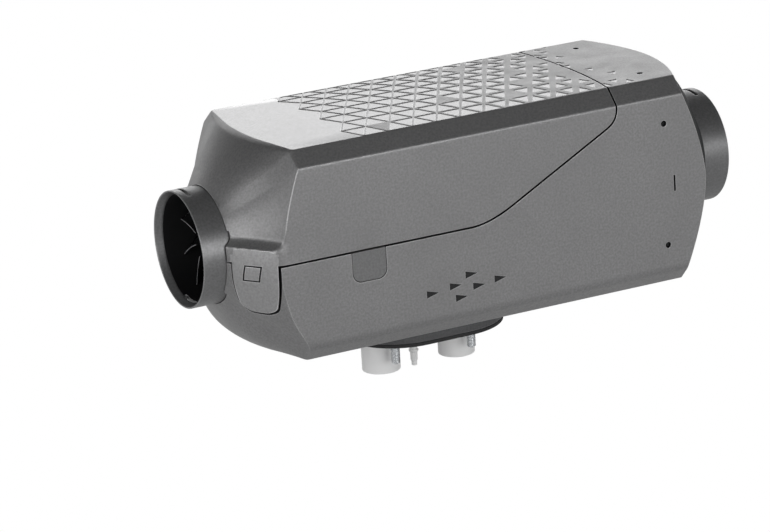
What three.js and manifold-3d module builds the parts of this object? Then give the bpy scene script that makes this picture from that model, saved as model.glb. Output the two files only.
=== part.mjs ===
// A diesel-fired air heater, about 380 mm long, with its blower, burner and finned exchanger inside.
// Millimetres. X runs with the air from inlet to outlet, Z is up. The sizes below are taken from the fan
// axis; the finished group is moved so that its origin is the centre of the foot's mounting face.
import * as THREE from "three";
import { mergeVertices } from "three/addons/utils/BufferGeometryUtils.js";
import Module from "manifold-3d";

const wasm = await Module();
wasm.setup();

// ---------------------------------------------------------------- driving dimensions

// Casing
const CASING_WIDTH = 137.4;
const CASING_HEIGHT = 136.4;
const CASING_HALF_LENGTH = 166.4; // to where the bowed end edges would meet the fan axis
const CHAMFER = 10;
const CORNER_ROUND = 2;
const WALL = 2.5;
const SEAM_GAP = 0.7;
const SEAT_GAP = 0.3; // between pieces that rest on each other
const SAG_POWER_SIDE = 1.9;
const SAG_POWER_TOP = 1.62;
// How far each skin stands out over an end's dome above, beside and below the spigot
const COVER_DOME = { top: 3, side: -3, bottom: 3 };
const SHELL_DOME = { top: 3, side: 0, bottom: 10 };
const TAB_DOME = { top: 5, side: 5, bottom: 5 };
const HOOD_DOME = { top: 5, side: 5, bottom: 5 };
const OPENING_GAP = 0.4; // casing opening round a spigot
const LIP_THICKNESS = 1.2;
const LIP_HEIGHT = 3;
const LIP_START = 20.4; // behind the inlet's end edge
// The latch tabs that the cover hangs over the lower shell, one on each side of the inlet dome. They pass
// outside the spigot when the cover is lifted.
const TAB = { setback: 18.2, top: 8.5, bottom: -34.2, corner: 5, clear: 1.7 };
const NOTCH_DEPTH = 3.5; // of the cover's opening beside the spigot, over the tabs
const NOTCH_HEIGHT = 17;

// Air ends: sign points out of the heater, sag is how far the end edge falls back from the middle,
// rise is from there to the round opening, and length is the spigot's from the opening
const DUCT_DIAMETER = 75;
const SPIGOT_WALL = 3;
const SPIGOT_BEVEL = 2.2;
const SPIGOT_BEVEL_LENGTH = 4.5;
const SPIGOT_FLANGE = 3.5;
const SPIGOT_FLANGE_THICKNESS = 2.5;
const SPIGOT_FLANGE_DEPTH = 5.6; // behind the casing's opening
const SPIGOT_SLOT = { setback: 6, width: 1.8, length: 19.4 }; // top and bottom, near the rim
const OUTLET_SLEEVE = 12; // inside the outlet's opening
const INLET = { sign: -1, sideSag: 11.6, topSag: 17.5, rise: 10.2, length: 18.2 };
const OUTLET = { sign: 1, sideSag: 18.8, topSag: 20.4, rise: 1.6, length: 16.7 };

// Seam between upper cover and lower shell, seen from the side
const SEAM_HEIGHT = -0.9;
const SEAM_BEND_START = -25;
const SEAM_BEND_CORNER = -11.6;
const SEAM_BEND_END = 6;
const SEAM_RAMP = THREE.MathUtils.degToRad(27.8);
const SEAM_TOP_START = 75.5;
const SEAM_TOP_X = 82.9;
const SEAM_TOP_ROUND = 8;
const SEAM_BOW = 4.6;

// Outlet hood and the pegs that snap it into the casing
const HOOD_WALL = 2.2;
const HOOD_DEPTH = 60.4; // these three are measured back from the outlet's end edge
const HOOD_RECESS = 0.6;
const PEG_DEPTH = 48.8;
const PEG_Z = 40.5;
const PEG_Y = 41;
const PEG_RADIUS = 1.2;
const PEG_HOLE_RADIUS = 1.6;
const PEG_SINK = 0.5;
const TONGUE_DEPTH = 42.3;
const TONGUE_HEIGHT = 10.6;
const TONGUE_THICKNESS = 1;

// Plug and grommet in the casing's sides
const PLUG_X = -96.9;
const PLUG_WIDTH = 23.2;
const PLUG_HEIGHT = 20.7;
const PLUG_CORNER = 6;
const PLUG_GAP = 0.35;
const PLUG_FLANGE = 1.8;
const PLUG_FLANGE_THICKNESS = 1.4;
const CABLE_HOLE_RADIUS = 5.5;
const CABLE_COLLAR_RADIUS = 8.5;
const CABLE_COLLAR_LENGTH = 5; // inside the wall

// Foot, its stubs, studs and fuel pipe
const FOOT_SETBACK = 36.9; // from the exchanger's front to the foot's middle
const FOOT_LENGTH = 108;
const FOOT_WIDTH = 92;
const FOOT_CORNER = 38;
const FOOT_DEPTH = 12; // from the casing's underside to the mounting face
const SEAL_THICKNESS = 2.2;
const NECK_INSET = 7;
const NECK_GAP = 1;
const STUB_SPACING = 55;
const STUB_END = 38.3; // stub length below the casing's underside
const STUB_WALL = 1.5;
const STUB_SEAT = 7;
const STUB_GAP = 0.3;
const AIR_STUB_DIAMETER = 25;
const EXHAUST_STUB_DIAMETER = 24;
const STUD_DIAMETER = 6;
const STUD_SPACING_Y = 43;
const STUD_END = 29;
const STUD_SEAT = 7;
const FUEL_PIPE_SETBACK = 6.6; // from the foot's middle, towards the inlet
const FUEL_PIPE_Y = -6;
const FUEL_PIPE_DIAMETER = 4.7;
const FUEL_PIPE_TIP_DIAMETER = 3.6;
const FUEL_PIPE_BORE = 1.6;
const FUEL_PIPE_END = 38.5;
const FUEL_BEAD = 0.8;

// Blower, from the inlet inwards
const FAN_SETBACK = 16.8; // from the inlet's rim
const FAN_DEPTH = 30;
const FAN_BLADES = 9;
const FAN_HUB_RADIUS = 12.5;
const FAN_TIP_GAP = 1.2;
const FAN_BLADE_THICKNESS = 1.5;
const FAN_WRAP = THREE.MathUtils.degToRad(52);
const FAN_LEADING_ANGLE = THREE.MathUtils.degToRad(16);
const FAN_MOTOR_GAP = 3;
const SHAFT_RADIUS = 3;
const SHAFT_GAP = 0.3;
const MOTOR_RADIUS = 29;
const MOTOR_LENGTH = 46;
const MOTOR_WALL = 1.8;
const MAGNET_THICKNESS = 4.5;
const ARMATURE_GAP = 0.8;
const ARMATURE_SLOTS = 9;
const BEARING_RADIUS = 8;
const BEARING_WIDTH = 6;
const BLOWER_LENGTH = 32;
const BLOWER_SOCKET = 7;
const WHEEL_RADIUS = 27;
const WHEEL_WIDTH = 11;
const WHEEL_VANES = 12;
const WHEEL_GAP = 1.5;
const PLATE_THICKNESS = 2.5;
const GASKET_THICKNESS = 1.2;
const SNOUT_RADIUS = 9; // the pipe that brings combustion air to the wheel
const SNOUT_BORE = 6.5;
const SNOUT_DROP = 2.5; // below the blower housing
const SCREW_RADIUS = 2;
const SCREW_HOLE = 2.4;
const SCREW_HEAD_RADIUS = 3.4;
const SCREW_HEAD = 3.5;
const SCREW_DEPTH = 8;

// Exchanger and burner
const OUTLET_PLENUM = 65.1; // free length between the exchanger and the outlet's opening
const CORE_RADIUS = 42;
const CORE_WALL = 7;
const CORE_END = 9;
const AIR_GAP = 8.7; // between the fins and the casing
const FIN_CORNER = 24;
const FIN_COUNT = 24;
const FIN_ROOT = 2.6;
const FIN_TIP = 1.4;
const FIN_TAPER = 14;
const CHAMBER_RADIUS = 23;
const CHAMBER_LENGTH = 52;
const CHAMBER_WALL = 1.6;
const CHAMBER_HOLES = 8;
const CHAMBER_HOLE_RADIUS = 2.2;
const FLAME_TUBE_RADIUS = 28;
const FLAME_TUBE_LENGTH = 92;
const FLAME_TUBE_WALL = 1.4;
const BOSS_WALL = 4.5;
const GLOW_PLUG_SETBACK = 25.1; // this and the sensor's are from the exchanger's front
const GLOW_PLUG_RADIUS = 4.5;
const GLOW_PLUG_HEX = 6;
const GLOW_PLUG_SINK = 1; // below the fins' tips
const SENSOR_SETBACK = 103.1;
const SENSOR_RADIUS = 6.5;
const SENSOR_HEIGHT = 8;
const SENSOR_POCKET_WIDTH = 20;

// Control unit over the motor
const UNIT_LENGTH = 56;
const UNIT_WIDTH = 84;
const UNIT_HEIGHT = 18;
const UNIT_LID = 2.5;
const UNIT_ROOM = 1.5; // under the cover
const UNIT_POST_RADIUS = 4.5;
const UNIT_POST_Y = 12;
const CONNECTOR_LENGTH = 9;
const CONNECTOR_GRIP = 4;
const UNIT_SETBACK = 10; // from the blower's plate
const UNIT_CORNER = 6;
const UNIT_RIBS = 6;
const UNIT_LID_OVERLAP = 0.8;
const CONNECTOR_Y = 20;
const CONNECTOR_WIDTH = 18;
const CONNECTOR_HEIGHT = 12;
const CONNECTOR_BASE = 5; // above the unit's underside
const CONNECTOR_WALL = 1.5;
const LEAD_DIAMETER = 3;

// ---------------------------------------------------------------- derived sizes

const HALF_WIDTH = CASING_WIDTH / 2;
const HALF_HEIGHT = CASING_HEIGHT / 2;
const DUCT_RADIUS = DUCT_DIAMETER / 2;
const SPIGOT_BORE = DUCT_RADIUS - SPIGOT_WALL;
const FAN_TIP_RADIUS = SPIGOT_BORE - FAN_TIP_GAP;
for (const end of [INLET, OUTLET]) {
  end.base = CASING_HALF_LENGTH + end.rise;
  end.rim = end.base + end.length;
}
const FAN_FRONT = FAN_SETBACK - INLET.rim;
const FAN_BACK = FAN_FRONT + FAN_DEPTH;
const MOTOR_FRONT = FAN_BACK + FAN_MOTOR_GAP;
const MOTOR_BACK = MOTOR_FRONT + MOTOR_LENGTH;
const BLOWER_RADIUS = CORE_RADIUS;
const BLOWER_FRONT = MOTOR_BACK + SEAT_GAP - BLOWER_SOCKET;
const BLOWER_BACK = BLOWER_FRONT + BLOWER_LENGTH;
const PLATE_FRONT = BLOWER_BACK + SEAT_GAP;
const GASKET_FRONT = PLATE_FRONT + PLATE_THICKNESS + SEAT_GAP;
const EXCHANGER_FRONT = GASKET_FRONT + GASKET_THICKNESS + SEAT_GAP;
const EXCHANGER_BACK = OUTLET.base - OUTLET_PLENUM;
const FIN_REACH = Math.min(HALF_WIDTH, HALF_HEIGHT) - WALL - AIR_GAP;
const BOSS_RADIUS = EXHAUST_STUB_DIAMETER / 2 + BOSS_WALL;
const GLOW_PLUG_X = EXCHANGER_FRONT + GLOW_PLUG_SETBACK;
const GLOW_PLUG_TOP = FIN_REACH - GLOW_PLUG_SINK;
const SENSOR_X = EXCHANGER_FRONT + SENSOR_SETBACK;
const HOOD_SKIRT_START = CASING_HALF_LENGTH - HOOD_DEPTH;
const PEG_X = CASING_HALF_LENGTH - PEG_DEPTH;
const TONGUE_X = CASING_HALF_LENGTH - TONGUE_DEPTH;
const FOOT_X = EXCHANGER_FRONT + FOOT_SETBACK;
const FUEL_PIPE_X = FOOT_X - FUEL_PIPE_SETBACK;
const CORE_BORE = CORE_RADIUS - CORE_WALL;
const WHEEL_BACK = BLOWER_BACK - WHEEL_GAP;
const WHEEL_FRONT = WHEEL_BACK - WHEEL_WIDTH;
const WHEEL_CHAMBER_RADIUS = WHEEL_RADIUS + WHEEL_GAP;
const WHEEL_CHAMBER_FRONT = WHEEL_FRONT - WHEEL_GAP;
const SNOUT_X = BLOWER_BACK - SNOUT_RADIUS - 2;
const SNOUT_BOTTOM = -BLOWER_RADIUS - SNOUT_DROP;
const SCREW_CIRCLE = (CORE_BORE + CORE_RADIUS) / 2;
const CASING_FLOOR = -HALF_HEIGHT;
const FLANGE_TOP = CASING_FLOOR - SEAT_GAP;
const FOOT_FACE = CASING_FLOOR - FOOT_DEPTH;
const FLANGE_BOTTOM = FOOT_FACE + SEAL_THICKNESS + SEAT_GAP;
const AIR_STUB_X = FOOT_X - STUB_SPACING / 2;
const EXHAUST_STUB_X = FOOT_X + STUB_SPACING / 2;
const COVER_CEILING = HALF_HEIGHT - WALL;
const UNIT_TOP = COVER_CEILING - UNIT_ROOM;
const UNIT_LID_BOTTOM = UNIT_TOP - UNIT_LID;
const UNIT_BOTTOM = UNIT_LID_BOTTOM - SEAT_GAP - UNIT_HEIGHT;
const UNIT_BACK = PLATE_FRONT - UNIT_SETBACK;
const UNIT_FRONT = UNIT_BACK - UNIT_LENGTH;
const UNIT_X = (UNIT_FRONT + UNIT_BACK) / 2;
const CONNECTOR_BOTTOM = UNIT_BOTTOM + CONNECTOR_BASE;
const LEAD_START = UNIT_BACK + CONNECTOR_LENGTH + CONNECTOR_GRIP + SEAT_GAP;
const LEAD_HEIGHT = CONNECTOR_BOTTOM + CONNECTOR_HEIGHT / 2;
const LEAD_CROWN = (FIN_REACH + COVER_CEILING) / 2;
const SENSOR_BASE = CORE_RADIUS - 1 + SEAT_GAP;
const FAR = 400; // beyond every piece, for cutting regions

// ---------------------------------------------------------------- solids

// A manifold-3d solid from a closed three.js geometry, turned to face outwards.
function solid(geometry) {
  const bare = new THREE.BufferGeometry().setAttribute("position", geometry.getAttribute("position"));
  if (geometry.index) bare.setIndex(geometry.index);
  const merged = mergeVertices(bare, 1e-4);
  const position = merged.attributes.position;
  const triangles = [];
  for (let i = 0; i < merged.index.count; i += 3) {
    const [a, b, c] = [0, 1, 2].map((k) => merged.index.getX(i + k));
    if (a !== b && b !== c && c !== a) triangles.push(a, b, c);
  }
  const make = (list) =>
    new wasm.Manifold(
      new wasm.Mesh({ numProp: 3, vertProperties: position.array, triVerts: new Uint32Array(list) }),
    );
  const made = make(triangles);
  return made.volume() < 0 ? make(triangles.reverse()) : made;
}

const join = (...parts) => parts.reduce((whole, part) => whole.add(part));
const cut = (body, ...tools) => tools.reduce((left, tool) => left.subtract(tool), body);
const common = (a, b) => a.intersect(b);

const group = new THREE.Group();
// The fan axis and the casing's middle, as seen from the centre of the foot's mounting face.
group.position.set(-FOOT_X, 0, -FOOT_FACE);

const FINISHES = {
  casing: { color: 0x3a3a3c, roughness: 0.55, metalness: 0 },
  dark_plastic: { color: 0x242426, roughness: 0.5, metalness: 0 },
  plug_rubber: { color: 0x2c2c2e, roughness: 0.8, metalness: 0 },
  cast_aluminium: { color: 0x9a9da0, roughness: 0.45, metalness: 1 },
  bright_tube: { color: 0xd9dadb, roughness: 0.25, metalness: 1 },
  zinc: { color: 0xb9bfc4, roughness: 0.35, metalness: 1 },
  burner_steel: { color: 0x8b857c, roughness: 0.4, metalness: 1 },
  copper: { color: 0xb06a3b, roughness: 0.35, metalness: 1 },
  gasket: { color: 0x4a4a4c, roughness: 0.9, metalness: 0 },
  blade_plastic: { color: 0x1b1b1d, roughness: 0.35, metalness: 0 },
  lead_sheath: { color: 0x151517, roughness: 0.6, metalness: 0 },
};

// Adds a solid to the heater as its own named mesh.
function piece(name, body, finish) {
  const { vertProperties, triVerts, numProp } = body.getMesh();
  const geometry = new THREE.BufferGeometry();
  geometry.setAttribute("position", new THREE.BufferAttribute(vertProperties, numProp));
  geometry.setIndex(new THREE.BufferAttribute(triVerts, 1));
  geometry.computeVertexNormals();
  const mesh = new THREE.Mesh(geometry, new THREE.MeshStandardMaterial(FINISHES[finish]));
  mesh.name = name;
  group.add(mesh);
}

// A box from its lowest to its highest corner.
function block(low, high) {
  const size = high.map((h, i) => h - low[i]);
  return solid(
    new THREE.BoxGeometry(...size).translate(...low.map((l, i) => l + size[i] / 2)),
  );
}

// A turned piece about an axis parallel to X; profile points are [x, radius].
function turnX(profile, segments = 28, y = 0, z = 0) {
  const points = profile.map(([x, radius]) => new THREE.Vector2(radius, x));
  return solid(new THREE.LatheGeometry(points, segments).rotateZ(-Math.PI / 2).translate(0, y, z));
}

// A turned piece about an axis parallel to Z; profile points are [z, radius].
function turnZ(profile, segments = 20, x = 0, y = 0) {
  const points = profile.map(([z, radius]) => new THREE.Vector2(radius, z));
  return solid(new THREE.LatheGeometry(points, segments).rotateX(Math.PI / 2).translate(x, y, 0));
}

const closed = (profile) => [...profile, profile[0]];
const rodX = (from, to, radius, segments, y, z) =>
  turnX([[from, 0], [from, radius], [to, radius], [to, 0]], segments, y, z);
const rodZ = (from, to, radius, segments, x, y) =>
  turnZ([[from, 0], [from, radius], [to, radius], [to, 0]], segments, x, y);
const tubeX = (from, to, radius, bore, segments) =>
  turnX(closed([[from, bore], [from, radius], [to, radius], [to, bore]]), segments);
const rodY = (from, to, radius, segments, x, z) =>
  solid(new THREE.CylinderGeometry(radius, radius, to - from, segments).translate(x, (from + to) / 2, z));

// A (y, z) outline extruded along X, and an (x, z) outline extruded along Y, and an (x, y) outline along Z.
const ALONG_X = new THREE.Matrix4().makeBasis(
  new THREE.Vector3(0, 1, 0), new THREE.Vector3(0, 0, 1), new THREE.Vector3(1, 0, 0));
const ALONG_Y = new THREE.Matrix4().makeBasis(
  new THREE.Vector3(1, 0, 0), new THREE.Vector3(0, 0, 1), new THREE.Vector3(0, -1, 0));
function extrude(shape, depth, curveSegments = 3, steps = 1) {
  return new THREE.ExtrudeGeometry(shape, { depth, steps, curveSegments, bevelEnabled: false });
}
// Both ends of a span on one side of the middle, the lower first.
const onSide = (side, near, far) => (side > 0 ? [near, far] : [-far, -near]);
const extrudeX = (shape, from, to, curveSegments) =>
  solid(extrude(shape, to - from, curveSegments).applyMatrix4(ALONG_X).translate(from, 0, 0));
const extrudeY = (shape, from, to, curveSegments) =>
  solid(extrude(shape, to - from, curveSegments).applyMatrix4(ALONG_Y).translate(0, to, 0));
const extrudeZ = (shape, from, to, curveSegments) =>
  solid(extrude(shape, to - from, curveSegments).translate(0, 0, from));

// A rectangle with rounded corners about (x, y).
function roundedRectangle(x, y, width, height, corner) {
  const [left, right, bottom, top] = [x - width / 2, x + width / 2, y - height / 2, y + height / 2];
  const shape = new THREE.Shape();
  shape.moveTo(left + corner, bottom);
  shape.lineTo(right - corner, bottom);
  shape.absarc(right - corner, bottom + corner, corner, -Math.PI / 2, 0);
  shape.lineTo(right, top - corner);
  shape.absarc(right - corner, top - corner, corner, 0, Math.PI / 2);
  shape.lineTo(left + corner, top);
  shape.absarc(left + corner, top - corner, corner, Math.PI / 2, Math.PI);
  shape.lineTo(left, bottom + corner);
  shape.absarc(left + corner, bottom + corner, corner, Math.PI, 1.5 * Math.PI);
  return shape;
}

// A closed skin through rings of equal point count, with a fan over each end.
function loft(rings) {
  const count = rings[0].length;
  const last = rings.length - 1;
  const positions = rings.flat().flatMap((p) => p.toArray());
  const index = [];
  for (let k = 0; k < last; k++)
    for (let i = 0; i < count; i++) {
      const [a, b] = [k * count + i, k * count + ((i + 1) % count)];
      index.push(a, b, b + count, a, b + count, a + count);
    }
  for (const [k, turned] of [[0, true], [last, false]]) {
    const middle = rings[k].reduce((sum, p) => sum.add(p), new THREE.Vector3()).divideScalar(count);
    const hub = positions.length / 3;
    positions.push(...middle.toArray());
    for (let i = 0; i < count; i++) {
      const [a, b] = [k * count + i, k * count + ((i + 1) % count)];
      index.push(...(turned ? [b, a, hub] : [a, b, hub]));
    }
  }
  const geometry = new THREE.BufferGeometry();
  geometry.setAttribute("position", new THREE.Float32BufferAttribute(positions, 3));
  geometry.setIndex(index);
  return solid(geometry);
}

// A copy turned about the fan axis.
function turned(body, angle) {
  return body.rotate([THREE.MathUtils.radToDeg(angle), 0, 0]);
}

// ---------------------------------------------------------------- casing form

// The casing's cross-section drawn in by an inset, as (y, z) points: a chamfered, eased rectangle.
function casingOutline(inset) {
  const [y, z] = [HALF_WIDTH - inset, HALF_HEIGHT - inset];
  const leg = CHAMFER - inset * (2 - Math.SQRT2);
  const corners = [
    [y, z - leg], [y - leg, z], [leg - y, z], [-y, z - leg],
    [-y, leg - z], [leg - y, -z], [y - leg, -z], [y, leg - z],
  ].map(([a, b]) => new THREE.Vector2(a, b));
  const flatSteps = 4;
  const toward = (from, to) => from.clone().lerp(to, CORNER_ROUND / from.distanceTo(to));
  const points = [];
  corners.forEach((corner, i) => {
    const before = corners[(i + 7) % 8];
    const after = corners[(i + 1) % 8];
    const [start, end] = [toward(corner, before), toward(corner, after)];
    points.push(...new THREE.QuadraticBezierCurve(start, corner, end).getPoints(1));
    if (i % 2 === 0) return; // a chamfer follows
    const next = toward(after, corner);
    for (let k = 1; k < flatSteps; k++) points.push(end.clone().lerp(next, k / flatSteps));
  });
  return points;
}

// Where the casing's bowed end edge lies at a point of its outline.
function endEdge(end, y, z) {
  const aside = Math.abs(y / HALF_WIDTH) ** SAG_POWER_SIDE;
  const up = Math.abs(z / HALF_HEIGHT) ** SAG_POWER_TOP;
  return end.sign * (CASING_HALF_LENGTH - end.sideSag * aside - end.topSag * up);
}

// How far a dome stands out in the direction of a point of the outline.
function fullness(dome, y, z) {
  const aside = Math.abs(y) / HALF_WIDTH - Math.abs(z) / HALF_HEIGHT;
  const level = z > 0 ? dome.top : dome.bottom;
  return THREE.MathUtils.lerp(level, dome.side, THREE.MathUtils.smoothstep(aside, -0.3, 0.3));
}

// The rings of a dome from the casing's end edge to the spigot's round opening, drawn in by an inset.
function domeRings(end, dome, outlineInset, draw) {
  const steps = 3;
  const mouth = DUCT_RADIUS - draw / 2;
  const outline = casingOutline(outlineInset + draw);
  const rings = [];
  for (let k = 0; k <= steps; k++) {
    const t = k / steps;
    rings.push(
      outline.map(({ x: y, y: z }) => {
        const radius = Math.hypot(y, z);
        const edge = new THREE.Vector2(endEdge(end, y, z) - end.sign * draw, radius);
        const ring = new THREE.Vector2(end.sign * (end.base - draw), mouth);
        const slope = ring.clone().sub(edge).normalize();
        const out = new THREE.Vector2(-end.sign * slope.y, end.sign * slope.x);
        const middle = edge.clone().lerp(ring, 0.5).addScaledVector(out, fullness(dome, y, z));
        const at = new THREE.QuadraticBezierCurve(edge, middle, ring).getPoint(t);
        return new THREE.Vector3(at.x, (y / radius) * at.y, (z / radius) * at.y);
      }),
    );
  }
  return rings;
}

// The casing as a solid: inlet dome and barrel, open-ended past the outlet edge when past is given.
function casingBody(dome, draw, past = 0) {
  const outlet = casingOutline(draw).map(
    ({ x: y, y: z }) => new THREE.Vector3(endEdge(OUTLET, y, z) + past, y, z),
  );
  return loft([...domeRings(INLET, dome, 0, draw).reverse(), outlet]);
}

// The casing's hollow, drawn in and open at the outlet.
const casingRoom = (dome, draw) => casingBody(dome, draw, 2 * WALL);

// The seam seen from the side, from the inlet to above the casing, moved outwards from the cover by offset.
function seamLine(offset) {
  const rise = Math.tan(SEAM_RAMP);
  const onRamp = (x) => SEAM_HEIGHT + (x - SEAM_BEND_CORNER) * rise;
  const path = new THREE.Path();
  path.moveTo(-FAR, SEAM_HEIGHT);
  path.lineTo(SEAM_BEND_START, SEAM_HEIGHT);
  path.quadraticCurveTo(SEAM_BEND_CORNER, SEAM_HEIGHT, SEAM_BEND_END, onRamp(SEAM_BEND_END));
  path.lineTo(SEAM_TOP_START, onRamp(SEAM_TOP_START));
  const corner = onRamp(SEAM_TOP_X);
  path.quadraticCurveTo(SEAM_TOP_X, corner, SEAM_TOP_X, corner + SEAM_TOP_ROUND);
  path.lineTo(SEAM_TOP_X, FAR);
  const points = path.getPoints(5);
  return points.map((p, i) => {
    const ahead = points[Math.min(i + 1, points.length - 1)].clone().sub(points[Math.max(i - 1, 0)]);
    if (i === 0) ahead.set(1, 0);
    if (i === points.length - 1) ahead.set(0, 1);
    ahead.normalize();
    return new THREE.Vector2(p.x + ahead.y * offset, p.y - ahead.x * offset);
  });
}

// Everything on the cover's side of the seam, grown by offset; across the top the seam bows to the outlet.
function coverRegion(offset) {
  const shape = new THREE.Shape([...seamLine(offset), new THREE.Vector2(-FAR, FAR)]);
  const flatGeometry = extrude(shape, 2 * CASING_WIDTH, 1, 12);
  const geometry = flatGeometry.applyMatrix4(ALONG_Y).translate(0, CASING_WIDTH, 0);
  const position = geometry.attributes.position;
  const flat = HALF_WIDTH - CHAMFER;
  const bowStart = SEAM_HEIGHT + (SEAM_TOP_START - SEAM_BEND_CORNER) * Math.tan(SEAM_RAMP);
  for (let i = 0; i < position.count; i++) {
    const [x, y, z] = [position.getX(i), position.getY(i), position.getZ(i)];
    const bow = SEAM_BOW * Math.max(0, 1 - (y / flat) ** 2);
    const share = THREE.MathUtils.smoothstep(z, bowStart, bowStart + SEAM_TOP_ROUND);
    if (x > SEAM_BEND_START) position.setX(i, x + bow * share);
  }
  return solid(geometry);
}

// ---------------------------------------------------------------- casing pieces

// The room that an air spigot and its seat flange take in the casing's end.
function spigotRoom(end) {
  const seat = end.base - SPIGOT_FLANGE_DEPTH + OPENING_GAP;
  const neck = DUCT_RADIUS + OPENING_GAP;
  const flange = DUCT_RADIUS + SPIGOT_FLANGE + OPENING_GAP;
  const profile = [[end.rim, 0], [end.rim, neck], [seat, neck], [seat, flange], [0, flange], [0, 0]];
  return turnX(profile.map(([x, r]) => [end.sign * x, r]), 32);
}

// The outline of a side plug, standing on its rounded lower corners, with its flat top at the seam.
function plugOutline(grow) {
  const top = SEAM_HEIGHT + PLUG_CORNER * 2;
  const bottom = SEAM_HEIGHT - PLUG_HEIGHT - grow;
  return roundedRectangle(PLUG_X, (top + bottom) / 2, PLUG_WIDTH + 2 * grow, top - bottom, PLUG_CORNER);
}

// The room of a latch tab, grown by a gap, from a plane beside the spigot outwards.
function tabRegion(side, grow, clear) {
  const back = TAB.setback - INLET.base + grow;
  const height = TAB.top - TAB.bottom + grow;
  const middle = TAB.top - height / 2;
  const near = DUCT_RADIUS + clear;
  const fromSide = roundedRectangle(back - FAR / 2, middle, FAR, height, TAB.corner);
  const fromEnd = roundedRectangle(side * (near + FAR / 2), middle, FAR, height, TAB.corner);
  return common(extrudeY(fromSide, ...onSide(side, near, FAR)), extrudeX(fromEnd, -FAR, back));
}

// The cover's opening is wider beside the spigot, where the tabs begin.
function notch(side) {
  const reach = rodX(-FAR, SPIGOT_FLANGE_DEPTH - INLET.base, DUCT_RADIUS + NOTCH_DEPTH, 32);
  const [near, far] = onSide(side, 0, FAR);
  return common(reach, block([-FAR, near, SEAM_HEIGHT - SEAM_GAP], [0, far, NOTCH_HEIGHT]));
}

// A latch tab: a thick root above the seam, on the cover's dome, and a thin tongue below it.
function latchTab(side, coverSide) {
  const full = common(casingBody(TAB_DOME, 0), tabRegion(side, 0, TAB.clear));
  const root = cut(common(full, coverSide), casingRoom(COVER_DOME, WALL));
  const tongue = cut(full, casingRoom(TAB_DOME, WALL));
  return join(root, tongue);
}

const casingShell = (dome) => cut(casingBody(dome, 0), casingRoom(dome, WALL), spigotRoom(INLET));

// A lip behind the seam, rooted on the lower shell's wall, along the straight part of the casing.
function seamLip(below) {
  const outside = casingRoom(SHELL_DOME, WALL + SEAT_GAP);
  const inside = casingBody(SHELL_DOME, WALL + SEAT_GAP + LIP_THICKNESS, 3 * WALL);
  const front = [LIP_START - CASING_HALF_LENGTH, -CASING_WIDTH, -CASING_HEIGHT];
  const barrel = block(front, [CASING_HALF_LENGTH, CASING_WIDTH, CASING_HEIGHT]);
  const reach = common(coverRegion(LIP_HEIGHT + SEAM_GAP), barrel);
  const standing = cut(common(cut(outside, inside), reach), coverRegion(-LIP_HEIGHT));
  const rooted = cut(casingRoom(SHELL_DOME, WALL - SEAT_GAP), inside);
  return join(standing, cut(common(rooted, reach), below));
}

function makeCasing() {
  const coverSide = coverRegion(0);
  const below = coverRegion(SEAM_GAP);
  let upper = common(casingShell(COVER_DOME), coverSide);
  let lower = join(cut(casingShell(SHELL_DOME), below), seamLip(below));
  for (const side of [-1, 1]) {
    upper = cut(join(upper, latchTab(side, coverSide)), notch(side));
    lower = cut(lower, tabRegion(side, SEAM_GAP, 0));
  }
  piece("upper_cover", largest(cut(upper, spigotRoom(INLET))), "casing");
  piece("lower_shell", largest(cutCasingHoles(cut(lower, spigotRoom(INLET)))), "casing");
}

// The biggest of a solid's separate bodies, without the slivers that trimming leaves.
function largest(body) {
  return body.decompose().sort((a, b) => b.volume() - a.volume())[0];
}

// The openings in the lower shell for the foot's neck, the side plugs, and the hood's pegs and tongues.
function cutCasingHoles(lower) {
  const behind = HALF_WIDTH - WALL - SEAT_GAP;
  let left = cut(
    lower,
    extrudeZ(footOutline(NECK_GAP - NECK_INSET), CASING_FLOOR - WALL, CASING_FLOOR + 3 * WALL),
    extrudeY(plugOutline(PLUG_GAP), -FAR, FAR),
    extrudeY(plugOutline(PLUG_FLANGE + PLUG_GAP), -behind, behind),
  );
  const slot = (TONGUE_THICKNESS + PLUG_GAP) / 2;
  for (const side of [-1, 1]) {
    const [from, to] = onSide(side, HALF_WIDTH - 2 * WALL, HALF_WIDTH + WALL);
    for (const z of [-PEG_Z, PEG_Z]) left = cut(left, rodY(from, to, PEG_HOLE_RADIUS, 8, PEG_X, z));
    const slotLow = [TONGUE_X - slot, from, -TONGUE_HEIGHT / 2];
    left = cut(left, block(slotLow, [TONGUE_X + slot, to, TONGUE_HEIGHT / 2]));
    const [low, high] = onSide(side, HALF_HEIGHT - 2 * WALL, HALF_HEIGHT + WALL);
    for (const y of [-PEG_Y, PEG_Y]) left = cut(left, rodZ(low, high, PEG_HOLE_RADIUS, 8, PEG_X, y));
  }
  return left;
}

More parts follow.
